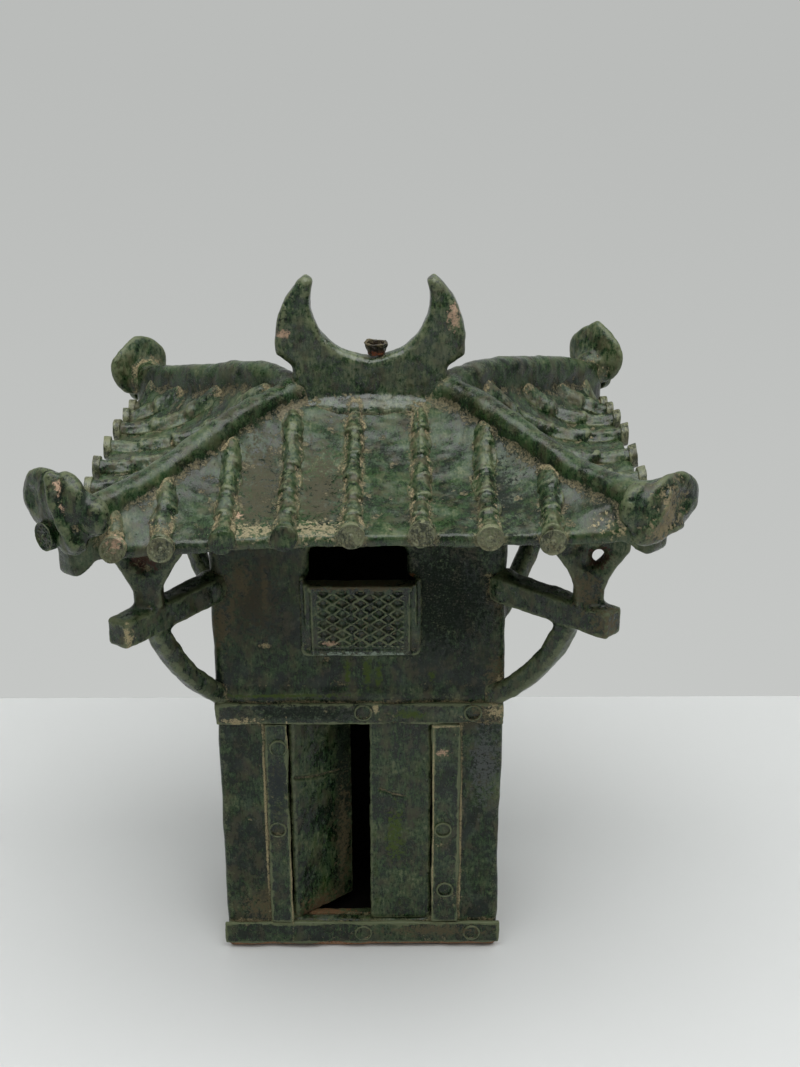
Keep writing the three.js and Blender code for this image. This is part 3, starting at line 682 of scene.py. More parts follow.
def glaze_material(name, colours, thickness, runs=0.5, bloom=0.3, earth=0.6, wear=0.5, dusk=0.2,
                   stain=0.3, chips=(), foot=0.0, inside=False, gloss=0.35, deep=None, green=None,
                   cling=3.0, edge=0.18, shine=(0.2, 0.36), contrast=1.0):
    """Green lead glaze on buff clay with the wear of long burial.

    Thickness, runs and contrast shape the glaze's own clouds. Bloom, earth, wear, dusk and stain say how
    much of each lies on it; cling draws the earth to the joints and edge draws the wear to the crests.
    Chips are places in millimetres with a spread, a raggedness and a colour, some of them painted shade
    and painted highlight; foot is the height of the bare clay at the foot, inside paints the points marked
    inside near black as painted shade, and shine is the roughness of thick and thin glaze.
    """
    material, tree = new_material(name)
    coordinates = tree.nodes.new("ShaderNodeTexCoord").outputs["Object"]
    place = add_node(tree, "ShaderNodeVectorMath", {0: coordinates, "Scale": 1 / MM},
                     operation="SCALE").outputs[0]
    relief = add_node(tree, "ShaderNodeAttribute", attribute_name="relief").outputs["Fac"]
    joint = add_node(tree, "ShaderNodeAttribute", attribute_name="joint").outputs["Fac"]
    facing = add_node(tree, "ShaderNodeSeparateXYZ",
                      {0: tree.nodes.new("ShaderNodeNewGeometry").outputs["Normal"]}).outputs["Z"]

    glaze = use_group(tree, "glaze", {"Place": place, "Deep": deep or colours.deep,
                      "Green": green or colours.green, "Pale": colours.pale, "Olive": colours.olive,
                      "Thickness": thickness, "Runs": runs, "Contrast": contrast})
    colour, thin = glaze["Color"], glaze["Thin"]
    rough = blend_value(tree, thin, *shine)

    # Bluish film, brown stain, and a silvery bloom on what looks up
    smoky = use_group(tree, "patch", {"Place": place, "Size": PATTERN["smoke"], "Level": 0.54,
                      "Softness": 0.12})
    smoky = maths(tree, "MULTIPLY", smoky["Mask"], dusk)
    colour = blend(tree, smoky, colour, colours.dusk)
    soiled = use_group(tree, "patch", {"Place": stretched(tree, place, (1.0, 1.0, 0.6)),
                       "Size": PATTERN["soil"], "Level": 0.56, "Softness": 0.09})
    soiled = maths(tree, "MULTIPLY", soiled["Mask"], stain)
    colour = blend(tree, soiled, colour, colours.stain)
    rough = blend_value(tree, soiled, rough, 0.6)
    upward = ramp(tree, facing, 0.0, 0.9)
    film = use_group(tree, "patch", {"Place": place, "Size": PATTERN["film"], "Level": 0.59,
                     "Softness": 0.1})
    reach = maths(tree, "ADD", maths(tree, "MULTIPLY", upward, 0.8), 0.2)
    film = maths(tree, "MULTIPLY", maths(tree, "MULTIPLY", film["Mask"], reach), bloom)
    colour = blend(tree, film, colour, colours.bloom)
    rough = blend_value(tree, film, rough, 0.5)

    # Thick glaze in the hollows, and earth lodged there and at the joints
    coarse = noise(tree, place, PATTERN["coarse"], 6.0, 0.75)
    fine = noise(tree, place, PATTERN["fine"], 4.0, 0.75)
    broken = maths(tree, "ADD", maths(tree, "MULTIPLY", coarse, 0.6), maths(tree, "MULTIPLY", fine, 0.4))
    hollow = ramp(tree, maths(tree, "MULTIPLY", relief, -1.0), 0.02, 0.45)
    colour = blend(tree, maths(tree, "MULTIPLY", hollow, 0.7), colour, colours.deep)
    seat = maths(tree, "MULTIPLY", maths(tree, "POWER", joint, cling), 0.2)
    lodged = maths(tree, "ADD", maths(tree, "ADD", broken, seat), maths(tree, "MULTIPLY", hollow, 0.15))
    lodged = maths(tree, "MULTIPLY", ramp(tree, lodged, 0.6, 0.69), earth)
    soil = blend(tree, ramp(tree, fine, 0.35, 0.65), colours.stain, colours.earth)
    colour = blend(tree, lodged, colour, soil)
    rough = blend_value(tree, lodged, rough, 0.85)

    # Thin, worn glaze on the crests
    crest = maths(tree, "ADD", maths(tree, "MULTIPLY", ramp(tree, relief, 0.02, 0.4), edge), broken)
    worn = maths(tree, "MULTIPLY", ramp(tree, crest, 0.58, 0.72), wear)
    colour = blend(tree, worn, colour, colours.pale)
    rough = blend_value(tree, worn, rough, 0.5)

    # Chips and single stains, among them painted shade and painted highlight, the bare foot, and the
    # painted shade of the dark inside
    bare = None
    for centre, spread, ragged, tint in chips:
        mask = use_group(tree, "chip", {"Place": place, "Centre": centre, "Spread": spread,
                         "Raggedness": ragged})["Mask"]
        colour = blend(tree, mask, colour, tint)
        bare = mask if bare is None else maths(tree, "MAXIMUM", bare, mask)
    if foot > 0:
        height = add_node(tree, "ShaderNodeSeparateXYZ", {0: place}).outputs["Z"]
        swing = maths(tree, "MULTIPLY", maths(tree, "SUBTRACT", coarse, 0.5), 14.0)
        ragged = maths(tree, "ADD", height, swing)
        mask = maths(tree, "SUBTRACT", 1.0, ramp(tree, ragged, foot, foot + 1.5))
        raw = blend(tree, ramp(tree, fine, 0.3, 0.7), colours.orange, colours.clay)
        colour = blend(tree, mask, colour, raw)
        bare = mask if bare is None else maths(tree, "MAXIMUM", bare, mask)
    if bare is not None:
        rough = blend_value(tree, bare, rough, 0.8)
    # Painted shade: the points marked inside take a near-black colour that stands for the dark in the tower
    if inside:
        inside_shade = add_node(tree, "ShaderNodeAttribute", attribute_name="inside").outputs["Fac"]
        colour = blend(tree, inside_shade, colour, colours.inside)
        rough = blend_value(tree, inside_shade, rough, 0.9)

    # The surface's own relief, with a crust where earth lies
    skin = use_group(tree, "skin", {"Place": place})["Height"]
    crust = maths(tree, "MULTIPLY", lodged, maths(tree, "ADD", maths(tree, "MULTIPLY", fine, 0.9), 0.1))
    height = maths(tree, "ADD", skin, crust)
    bump = add_node(tree, "ShaderNodeBump", {"Height": height, "Distance": MM, "Strength": BUMP_STRENGTH})
    shader = add_node(tree, "ShaderNodeBsdfPrincipled", {"Base Color": colour, "Roughness": rough,
                      "Normal": bump.outputs[0], "Specular IOR Level": gloss})
    set_surface(tree, shader.outputs[0])
    return material


def settings(context):
    """The sizes and colours that the panel's user sets."""
    return context.scene.watchtower_sizes, context.scene.watchtower_colours


def pick(piece, test, kind="FACE"):
    """Enters edit mode with the faces or corners selected whose place and normal pass a test."""
    only(piece)
    bpy.ops.object.mode_set(mode="EDIT")
    bpy.ops.mesh.select_mode(type=kind)
    bpy.ops.mesh.select_all(action="DESELECT")
    shape = bmesh.from_edit_mesh(piece.data)
    if kind == "FACE":
        for face in shape.faces:
            face.select_set(test(face.calc_center_median(), face.normal))
    else:
        for corner in shape.verts:
            corner.select_set(test(corner.co, corner.normal))
    shape.select_flush_mode()
    bmesh.update_edit_mesh(piece.data)


def leave_edit():
    """Goes back to object mode."""
    bpy.ops.object.mode_set(mode="OBJECT")


def move_by(piece, matrix):
    """Takes a move or turn into a mesh."""
    piece.data.transform(matrix)
    if matrix.determinant() < 0:
        piece.data.flip_normals()
    return piece


def frame_matrix(place, across, up, out):
    """The place and axes of a small frame on the tower."""
    matrix = Matrix((across, up, out)).transposed().to_4x4()
    matrix.translation = place
    return matrix


def ring(name, place, radius, thickness):
    """A thin ring of clay, facing -Y."""
    bpy.ops.object.select_all(action="DESELECT")
    bpy.ops.mesh.primitive_torus_add(major_radius=radius, minor_radius=thickness, major_segments=40,
                                     minor_segments=10, location=place, rotation=(math.pi / 2, 0, 0))
    return settle(bpy.context.object, name)


def bead(name, stops, radius):
    """A soft bead of clay laid along straight runs between stops."""
    parts = []
    for start, end in zip(stops, stops[1:]):
        start, end = Vector(start), Vector(end)
        count = max(1, round((end - start).length / DROP_STEP))
        parts += [ball("drop", start.lerp(end, index / count), (radius,) * 3) for index in range(count)]
    return join(name, parts)


def score(piece, start, end, width, depth, across=(0, -1, 0)):
    """Presses a line into a face that looks one way."""
    points, normals = points_of(piece), normals_of(piece)
    start, end, across = np.array(start), np.array(end), np.array(across)
    run = end - start
    share = np.clip((points - start) @ run / (run @ run), 0, 1)
    far = np.linalg.norm(points - start - share[:, None] * run, axis=1)
    press = np.exp(-((far / width) ** 2)) * depth * np.clip(normals @ across, 0, 1)
    move_points(piece, points - across * press[:, None])


def finish_marks(piece, own, rounds=8):
    """Writes the marks that the glazes read; a piece's own solids don't count as joints."""
    mark_relief(piece, rounds)
    mark_joints(piece, own)


WALLS = ("lower_front_wall", "upper_front_wall", "left_wall", "right_wall", "rear_wall")
SLOPES = ("front_slope", "rear_slope", "left_slope", "right_slope")


class WATCHTOWER_OT_walls(bpy.types.Operator):
    """Models the five walls as one hand-smoothed shell"""
    bl_idname = "watchtower.walls"
    bl_label = "Walls"

    def execute(self, context):
        sizes, colours = settings(context)
        shell = cast_of("body_walls", *WALLS)
        # The window hole's cheeks, which the panel's top corners lean on
        cheeks = [block("cheek", (x0 * MM, -56.3 * MM, 299 * MM), (x1 * MM, -48.2 * MM, 324 * MM))
                  for x0, x1 in ((-43, -37), (28, 36))]
        shell = join("body_walls", [shell] + cheeks)
        apply_modifier(shell, "DISPLACE", strength=MEETING, mid_level=0)
        fuse(shell, GRAIN["walls"], FILLET["walls"])
        rub(shell, sizes, 3, (36, 1.7), (10, 0.5))
        # A dent under the window and two scratches to its left
        for start, end, width, depth in (((-0.0277, 0.238), (-0.0262, 0.2385), 2.2, 1.4),
                                         ((-0.070, 0.253), (-0.066, 0.247), 0.9, 0.9),
                                         ((-0.072, 0.249), (-0.064, 0.250), 0.9, 0.9)):
            score(shell, (start[0], WALL_FACE, start[1]), (end[0], WALL_FACE, end[1]), width * MM,
                  depth * MM)
        points = points_of(shell)
        points[:, 2] = np.maximum(points[:, 2], 0)
        move_points(shell, points)
        x, y = points[:, 0], points[:, 1]
        # Painted shade: the inner faces of the walls are marked to take the near-black inside colour
        painted_shade_inside = (x > INSIDE_LEFT) & (x < INSIDE_RIGHT) & (np.abs(y) < INSIDE_DEPTH)
        write_mark(shell, "inside", painted_shade_inside.astype(float))
        finish_marks(shell, WALLS)
        glaze = glaze_material(
            "body_glaze", colours, thickness=0.66, runs=0.35, bloom=0.3, earth=0.8, wear=0.7, dusk=0.4,
            stain=0.4, edge=0.1, foot=3.0, inside=True, gloss=0.25,
            chips=[((-12.7, -57, 227), (2, 8, 10), 1.3, colours.olive),
                   ((1, -57, 229), (3, 8, 12), 1.3, colours.olive),
                   ((9, -57, 226), (2.5, 8, 9), 1.3, colours.olive),
                   ((46, -57, 226), (2.5, 8, 5), 1.3, colours.olive),
                   # Painted highlight: an olive line along the upper wall's lower lip, where that lip
                   # catches the light
                   ((-60, -58, 211), (46, 8, 1.4), 1.2, colours.olive),
                   ((-76, -57, 284), (17, 8, 27), 1.7, DIRTY_WALL),
                   ((-83, -57, 298), (7, 8, 12), 1.8, colours.stain),
                   ((-90, -57, 276), (2, 8, 13), 1.6, colours.stain),
                   ((-67, -57, 291), (2, 8, 15), 1.4, colours.stain),
                   ((-68, -57, 249), (3, 8, 2), 1.0, colours.earth),
                   ((-98, -57, 266), (6, 9, 18), 1.7, colours.stain),
                   ((90, -57, 283), (6, 9, 12), 1.6, colours.stain),
                   ((90, -57, 222), (7, 9, 16), 1.9, colours.stain),
                   ((93, -57, 218), (4, 9, 9), 1.6, colours.earth),
                   ((83, -57, 155), (8, 9, 26), 2.2, GREY_BLOOM),
                   # Painted shade: thick-glaze colour over the right half of the upper wall, under the eave
                   ((48, -57, 285), (44, 9, 42), 1.0, colours.deep),
                   ((-72.3, -57, 112), (1.0, 6, 85), 0.5, colours.earth),
                   ((66.8, -57, 100), (0.8, 6, 80), 0.8, colours.earth),
                   ((-76, -57, 36), (14, 9, 10), 2.4, colours.stain),
                   ((31, -60, 300), (2, 8, 2.5), 0.8, colours.orange)])
        finish_piece(shell, glaze, replaced=WALLS)
        return {"FINISHED"}


class WATCHTOWER_OT_trim(bpy.types.Operator):
    """Models the strips about the doorway and the floor with its ledge"""
    bl_idname = "watchtower.trim"
    bl_label = "Door strips"

    def execute(self, context):
        sizes, colours = settings(context)
        glaze = glaze_material(
            "strip_glaze", colours, edge=0.25, thickness=0.6, runs=0.3, bloom=0.25, earth=0.95, wear=0.9,
            dusk=0.3, stain=0.3,
            chips=[((30, -60, 197), (11, 8, 3), 1.4, colours.olive),
                   ((-45, -60, 199), (42, 8, 6), 1.2, colours.deep),
                   ((6.2, -60, 202.7), (2.5, 8, 4.5), 1.4, colours.earth),
                   ((86, -60, 198), (10, 8, 8), 2.2, colours.stain),
                   ((90, -60, 200), (6, 8, 5), 2.2, colours.earth),
                   ((-88, -60, 192), (12, 8, 2.2), 1.8, colours.earth),
                   ((53.4, -60, 166.8), (5, 8, 2.8), 1.0, colours.clay),
                   ((50, -60, 16), (30, 8, 4), 2.2, colours.stain),
                   ((-55.2, -60, 60), (0.9, 5, 45), 0.6, colours.earth),
                   ((-55.2, -60, 182), (0.9, 5, 12), 0.6, colours.earth),
                   ((46.8, -60, 110), (0.9, 5, 82), 0.5, colours.earth),
                   ((30, -61, 187.5), (70, 5, 0.9), 0.8, colours.earth),
                   ((-64, -60, 136), (7, 8, 27), 1.4, colours.dusk)])
        # The places across and up of the rings stamped in each strip, in millimetres
        rings = {"sill_band": ((-3.5, 14), (76, 14)), "lintel_band": ((-2.1, 199), (73.8, 198.6)),
                 "left_door_jamb": ((-61.6, 171), (-63.8, 104)),
                 "right_door_jamb": ((54.1, 103.3), (56, 52))}
        for name, places in rings.items():
            strip = cast_of(name + "_strip", name)
            fuse(strip, GRAIN["strips"])
            rub(strip, sizes, 6, (24, 2.2), (6, 0.6))
            for x, z in places:
                stamp = ring("stamp", (x * MM, STRIP_FACE, z * MM), sizes.ring_radius, 0.75 * MM)
                cut_by(strip, stamp, "UNION")
            finish_marks(strip, (name,), 10)
            finish_piece(strip, glaze, replaced=(name,))
        # The floor's finish: real earth and dust on the ledge, and painted shade behind it
        dust_and_painted_shade = glaze_material("floor_glaze", colours, thickness=0.5, runs=0.0, bloom=0.0, earth=1.0,
                               wear=0.4, stain=0.8, gloss=0.1, inside=True,
                               chips=[((-36, -46, 22), (21, 14, 9), 1.5, FLOOR_EARTH)])
        floor = cast_of("floor_and_ledge", "floor_slab")
        fuse(floor, GRAIN["floor"])
        rub(floor, sizes, 4, (14, 1.6), (4, 0.8))
        # Painted shade: the floor behind the doorway's ledge is marked to take the near-black inside colour
        write_mark(floor, "inside", points_of(floor)[:, 1] > LEDGE_BACK)
        finish_marks(floor, ("floor_slab",))
        finish_piece(floor, dust_and_painted_shade, replaced=("floor_slab",))
        return {"FINISHED"}


class WATCHTOWER_OT_doors(bpy.types.Operator):
    """Models the two door leaves"""
    bl_idname = "watchtower.doors"
    bl_label = "Door leaves"

    def execute(self, context):
        sizes, colours = settings(context)
        glaze = glaze_material(
            "door_glaze", colours, thickness=0.5, runs=0.5, bloom=0.08, earth=0.6, wear=0.7, dusk=0.2,
            stain=0.35, chips=[((20, -53, 95), (5, 8, 18), 2.2, colours.olive),
                               # Painted shade: thick-glaze colour along the left leaf's free edge, where
                               # the leaf turns away from the light
                               ((-17, -28, 108), (8, 9, 90), 0.8, colours.deep),
                               ((-37, -43, 25), (18, 16, 10), 1.7, FOOT_EARTH),
                               ((-18, -26, 78), (5, 8, 40), 2.0, colours.stain),
                               ((-19, -26, 60), (3, 8, 22), 2.2, colours.stain)])
        # Creases pressed in the leaves in millimetres: where each starts, where it ends and how deep it is
        scores = {"left": (((-50.4, -54.1, 143), (-36.6, -42.6, 137), 1.5),
                           ((-36.6, -42.6, 137), (-15.9, -25.2, 134), 1.5)),
                  "right": (((9, -55, 134.5), (19, -55, 130), 1.0), ((19, -55, 130), (27, -55, 128), 0.8))}
        for side in ("left", "right"):
            name = side + "_door_leaf"
            leaf = cast_of(name + "_slab", name)
            fuse(leaf, GRAIN["doors"])
            rub(leaf, sizes, 3, (18, 0.9), (5, 0.5))
            outward = (0.64, -0.77, 0) if side == "left" else (0, -1, 0)
            for start, end, depth in scores[side]:
                score(leaf, [value * MM for value in start], [value * MM for value in end], 1.3 * MM,
                      depth * MM, outward)
            finish_marks(leaf, (name,), 10)
            finish_piece(leaf, glaze, body=side + "_leaf", replaced=(name,))
        return {"FINISHED"}


class WATCHTOWER_OT_window(bpy.types.Operator):
    """Models the window panel with its moulded borders and lattice"""
    bl_idname = "watchtower.window"
    bl_label = "Window panel"

    def execute(self, context):
        sizes, colours = settings(context)
        low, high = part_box("window_panel")
        half = (high.x - low.x) / 2
        tall = PANEL_HEIGHT
        across, up = Vector((1, 0, 0)), Vector((0, -math.sin(PANEL_LEAN), math.cos(PANEL_LEAN)))
        place = Vector(((low.x + high.x) / 2, high.y - PANEL_SLAB * math.cos(PANEL_LEAN), low.z))
        at = frame_matrix(place, across, up, across.cross(up))
        parts = [block("slab", (-half, 0, -PANEL_SLAB), (half, tall, 0))]

        def bar(x0, y0, x1, y1, rise, sink=2 * MM):
            parts.append(block("bar", (x0, y0, -sink), (x1, y1, rise)))

        # The two raised borders: how far out each one's edge is, its width and its height
        for edge, wide, rise in ((33.3 * MM, 1.7 * MM, 1.9 * MM), (30 * MM, 1.1 * MM, 1.6 * MM)):
            foot = PANEL_EDGE - edge
            bar(-edge, foot, -edge + wide, tall - foot, rise)
            bar(edge - wide, foot, edge, tall - foot, rise)
            bar(-edge, foot, edge, foot + wide, rise)
        bar(-PANEL_EDGE, tall - TOP_BAND, PANEL_EDGE, tall, 2.2 * MM)
        field_high = tall - TOP_BAND
        cell, pitch = sizes.lattice_cell, sizes.lattice_row
        slant = math.atan2(pitch, cell)
        middle = (FIELD_FOOT + field_high) / 2
        bars = []
        for turn in (slant, -slant):
            for step in range(-6, 7):
                bpy.ops.mesh.primitive_cube_add(size=1, location=(step * cell, middle, 0.5 * MM),
                                                rotation=(0, 0, turn))
                piece = bpy.context.object
                piece.scale = (120 * MM, 1.5 * MM, 3.4 * MM)
                bars.append(settle(piece, "lattice_bar"))
        for bar_piece in bars:
            field = block("field", (-FIELD_HALF, FIELD_FOOT, -3 * MM), (FIELD_HALF, field_high, 4 * MM))
            cut_by(bar_piece, field, "INTERSECT")
        for empty in [piece for piece in bars if len(piece.data.vertices) == 0]:
            bars.remove(empty)
            bpy.data.objects.remove(empty)
        dots = []
        for row in range(-6, 7):
            for column in range(-3, 4):
                x = (column + 0.5 * ((row + 1) % 2)) * cell
                y = middle + row * pitch / 2
                if abs(x) < FIELD_HALF - 1 * MM and FIELD_FOOT + MM < y < field_high - MM:
                    dots.append(ball("dot", (x, y, 0), (1.5 * MM, 1.1 * MM, 1.0 * MM)))
        panel = join("window_lattice_panel", parts + bars + dots)
        move_by(panel, at)
        edge, foot, bend = RIM_HALF, RIM_FOOT, RIM_BEND
        stops = [(x + place.x, RIM_LEVEL, z) for x, z in (
            (-edge, RIM_HEAD), (-edge, foot + bend), (-edge + bend * 0.3, foot + bend * 0.3),
            (-edge + bend, foot), (edge - bend, foot), (edge - bend * 0.3, foot + bend * 0.3),
            (edge, foot + bend), (edge, RIM_HEAD))]
        stamp = ring("ring", (24.5 * MM, -58.5 * MM, 249 * MM), 2.6 * MM, 0.7 * MM)
        panel = join("window_lattice_panel", [panel, bead("rim", stops, 2.1 * MM), stamp])
        fuse(panel, GRAIN["window"], FILLET["window"])
        rub(panel, sizes, 1, (14, 0.9))
        finish_marks(panel, ("window_panel",), 8)
        glaze = glaze_material(
            "window_glaze", colours, edge=0.3, thickness=0.62, runs=0.2, bloom=0.2, earth=0.55, wear=1.0,
            dusk=0.3,
            chips=[((-24.5, -60, 252), (5, 8, 2.2), 0.8, colours.clay),
                   # Painted highlight: pale olive on the panel's top band, where light from above falls
                   ((-4, -62, 299), (36, 12, 3.6), 0.9, LEDGE_HIGHLIGHT),
                   ((-4, -66, 297), (36, 8, 2.6), 1.5, colours.stain),
                   ((-4, -57, 243), (34, 4, 2), 1.6, colours.bloom)])
        finish_piece(panel, glaze, replaced=("window_panel",))
        return {"FINISHED"}


class WATCHTOWER_OT_brackets(bpy.types.Operator):
    """Models each corner's strut, beam and yoke, luted together"""
    bl_idname = "watchtower.brackets"
    bl_label = "Corner brackets"

    def execute(self, context):
        sizes, colours = settings(context)
        glaze = glaze_material(
            "bracket_glaze", colours, thickness=0.58, runs=0.3, bloom=0.2, earth=0.8, wear=0.8, stain=0.5,
            chips=[((-146, -130, 291), (3, 5, 8), 1.3, colours.earth),
                   ((-136, -103, 334), (10, 14, 7), 1.0, RUST),
                   ((148, -103, 334), (8, 14, 8), 1.0, RUST),
                   ((140, -104, 312), (9, 9, 12), 1.6, colours.stain),
                   ((154, -112, 292), (7, 7, 10), 1.7, colours.stain)])
        # Clay in each yoke's crotch, in millimetres: its shift across, its height and its two radii
        webs = {"front_left": ((6, 335, 9, 13), (-3, 343, 12, 9)),
                "front_right": ((-8, 334, 9, 14), (2, 346, 12, 8)),
                "rear_left": ((5, 334, 8, 12),), "rear_right": ((-5, 334, 8, 12),)}
        for corner in CORNERS:
            # The lumps of clay that lute the strut's foot and the beam's root to the wall
            names = tuple(f"{corner}_{part}" for part in ("strut", "beam", "yoke"))
            side_x = 1 if "right" in corner else -1
            side_y = 1 if "rear" in corner else -1
            strut_low, strut_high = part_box(names[0])
            foot = Vector((strut_high.x if side_x < 0 else strut_low.x,
                           strut_low.y if side_y > 0 else strut_high.y, strut_low.z + STRUT_FOOT))
            root = Vector((ROOT_LEFT if side_x < 0 else ROOT_RIGHT, side_y * ROOT_DEPTH, ROOT_LEVEL))
            bracket = cast_of(corner + "_bracket", *names)
            apply_modifier(bracket, "DISPLACE", strength=MEETING, mid_level=0)
            lumps = [ball("lump", foot + Vector((side_x, side_y, 0)) * 3 * MM, FOOT_LUMP),
                     ball("lump", root, ROOT_LUMP)]
            yoke_low, yoke_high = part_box(names[2])
            crotch = (yoke_low + yoke_high) / 2
            for shift_x, height, radius_x, radius_z in webs[corner]:
                lumps.append(ball("web", (crotch.x + shift_x * MM, crotch.y, height * MM),
                                  (radius_x * MM, 6 * MM, radius_z * MM)))
            bracket = join(corner + "_bracket", [bracket] + lumps)
            fuse(bracket, GRAIN["brackets"], FILLET["brackets"])
            rub(bracket, sizes, 3, (12, 1.2), (4, 0.35))
            finish_marks(bracket, names)
            finish_piece(bracket, glaze, replaced=names)
        return {"FINISHED"}


class WATCHTOWER_OT_roof(bpy.types.Operator):
    """Models the roof's slopes and its four hips as one shell, luted where they meet"""
    bl_idname = "watchtower.roof"
    bl_label = "Roof slopes and hips"

    def execute(self, context):
        sizes, colours = settings(context)
        slopes = cast_of("roof_shell", *SLOPES)
        # The rear slope's solid holds its rolls, which are modelled apart, so it is pressed flat
        points = points_of(slopes)
        top = roof_height(np.clip(roof_share(points[:, 0], points[:, 1]), 0, 1))
        over = (points[:, 1] > 0) & (points[:, 2] > top)
        points[over, 2] = top[over]
        points[over, 1] = np.minimum(points[over, 1], EAVE_Y)
        move_points(slopes, points)
        hips = tuple(corner + "_hip_ridge" for corner in CORNERS)
        lumps = [ball("lump", (x * MM, y * MM, 411 * MM), (12 * MM, 9 * MM, 12 * MM))
                 for x in (-49, 56) for y in (-3, 3)]
        shell = join("roof_shell", [slopes, cast_of("hips", *hips)] + lumps)
        apply_modifier(shell, "DISPLACE", strength=MEETING, mid_level=0)
        fuse(shell, GRAIN["raw roof"], FILLET["roof"])
        soften(shell, 3)
        points = points_of(shell)
        height = points[:, 2] - roof_height(np.clip(roof_share(points[:, 0], points[:, 1]), 0, 1))
        swell = hip_swell(points)
        outer = height > -2.5 * MM
        points[outer, 2] += np.maximum(swell - height, 0)[outer] * ease((height / MM + 2.5) / 2)[outer]
        move_points(shell, points)
        fuse(shell, GRAIN["roof"])
        rub(shell, sizes, 8, (26, 2.2), (8, 1.0))
        warp_roof(shell, sizes)
        finish_marks(shell, SLOPES + hips)
        glaze = glaze_material(
            "roof_glaze", colours, thickness=0.5, runs=0.25, bloom=0.2, earth=0.5, wear=0.5, dusk=0.1,
            stain=0.35, gloss=0.38, cling=1.6, edge=0.1, shine=(0.14, 0.32), contrast=0.6,
            chips=[((-66, -84, 375), (13, 44, 30), 1.5, UMBER),
                   ((-27, -84, 375), (13, 44, 30), 1.5, UMBER),
                   ((84, -95, 370), (11, 34, 30), 2.4, colours.deep),
                   ((-81, -107, 364), (5, 6, 6), 1.4, colours.clay),
                   ((-66, -124, 361), (13, 6, 5), 2.3, EAVE_EARTH),
                   ((-27, -124, 361), (14, 8, 5), 2.3, EAVE_EARTH),
                   ((153, -124, 362), (8, 6, 7), 2.2, colours.earth)])
        finish_piece(shell, glaze, replaced=SLOPES + hips)
        return {"FINISHED"}


def slope_point(side, across, out):
    """A point on the roof's surface, out from its middle and across the side."""
    x, y = {"front": (across, -out), "rear": (across, out),
            "left": (-out, across), "right": (out, across)}[side]
    return Vector((x, y, float(roof_height(roof_share(x, y)))))


def hip_distance(side, across):
    """How far out from the roof's middle a roll meets the hip, or the ridge."""
    if side in ("front", "rear"):
        run = EAVE_X - RIDGE_HALF + (RIDGE_X if across < RIDGE_X else -RIDGE_X)
        return max((abs(across - RIDGE_X) - RIDGE_HALF) / run, 0.085) * EAVE_Y
    middle = RIDGE_HALF + abs(across) / EAVE_Y * (EAVE_X - RIDGE_HALF)
    return middle + (-RIDGE_X if side == "left" else RIDGE_X) * (1 - abs(across) / EAVE_Y)


def model_tile(sizes):
    """One half-round tile along +X, narrow at its head, with a swollen lip at its mouth."""
    length = sizes.tile_length
    lip = TILE_LIP
    bpy.ops.object.select_all(action="DESELECT")
    bpy.ops.mesh.primitive_cylinder_add(vertices=28, radius=1, depth=length - lip,
                                        location=((length - lip) / 2, 0, 0), rotation=(0, math.pi / 2, 0))
    piece = bpy.context.object
    piece.scale = (sizes.roll_height, sizes.roll_width / 2, 1)
    settle(piece, "tile")
    pick(piece, lambda place, normal: place.x < length / 2, "VERT")
    bpy.ops.transform.resize(value=(1, HEAD_SHARE, HEAD_SHARE), center_override=(0, 0, 0))
    leave_edit()
    pick(piece, lambda place, normal: normal.x > 0.9)
    bpy.ops.mesh.extrude_region_move(TRANSFORM_OT_translate={"value": (0.6 * lip, 0, 0)})
    bpy.ops.transform.resize(value=(1, MOUTH_SHARE, MOUTH_SHARE), center_override=(0, 0, 0))
    bpy.ops.mesh.extrude_region_move(TRANSFORM_OT_translate={"value": (0.6 * lip, 0, 0)})
    bpy.ops.transform.resize(value=(1, CLOSE_SHARE, CLOSE_SHARE), center_override=(0, 0, 0))
    leave_edit()
    return piece


def model_disc(sizes, plain=False):
    """An end disc with a rim, a ring of dots and a boss, its face to -Y."""
    radius, deep = sizes.disc_radius, sizes.disc_thickness
    bpy.ops.object.select_all(action="DESELECT")
    bpy.ops.mesh.primitive_cylinder_add(vertices=48, radius=radius, depth=deep,
                                        rotation=(math.pi / 2, 0, 0))
    disc = settle(bpy.context.object, "disc")
    if plain:
        pick(disc, lambda place, normal: normal.y < -0.9)
        bpy.ops.mesh.inset(thickness=radius * PLAIN_RIM_SHARE)
        bpy.ops.transform.translate(value=(0, -PLAIN_SWELL, 0))
        leave_edit()
        fuse(disc, GRAIN["plain disc"])
        soften(disc, 8)
        return disc
    pick(disc, lambda place, normal: normal.y < -0.9)
    bpy.ops.mesh.inset(thickness=DISC_RIM)
    bpy.ops.transform.translate(value=(0, FACE_DEPTH, 0))
    leave_edit()
    parts = [disc]
    face = -deep / 2 + FACE_DEPTH
    for index in range(sizes.disc_dots):
        turn = 2 * math.pi * index / sizes.disc_dots
        spot = (DOT_CIRCLE * math.cos(turn), face, DOT_CIRCLE * math.sin(turn))
        parts.append(ball("dot", spot, DOT_RADII))
    bpy.ops.mesh.primitive_torus_add(major_radius=DISC_RING, minor_radius=RING_WIRE, major_segments=32,
                                     minor_segments=8, location=(0, face, 0), rotation=(math.pi / 2, 0, 0))
    parts.append(settle(bpy.context.object, "ring"))
    parts.append(ball("boss", (0, face, 0), BOSS_RADII))
    disc = join("disc", parts)
    fuse(disc, GRAIN["disc"])
    soften(disc, 1)
    return disc


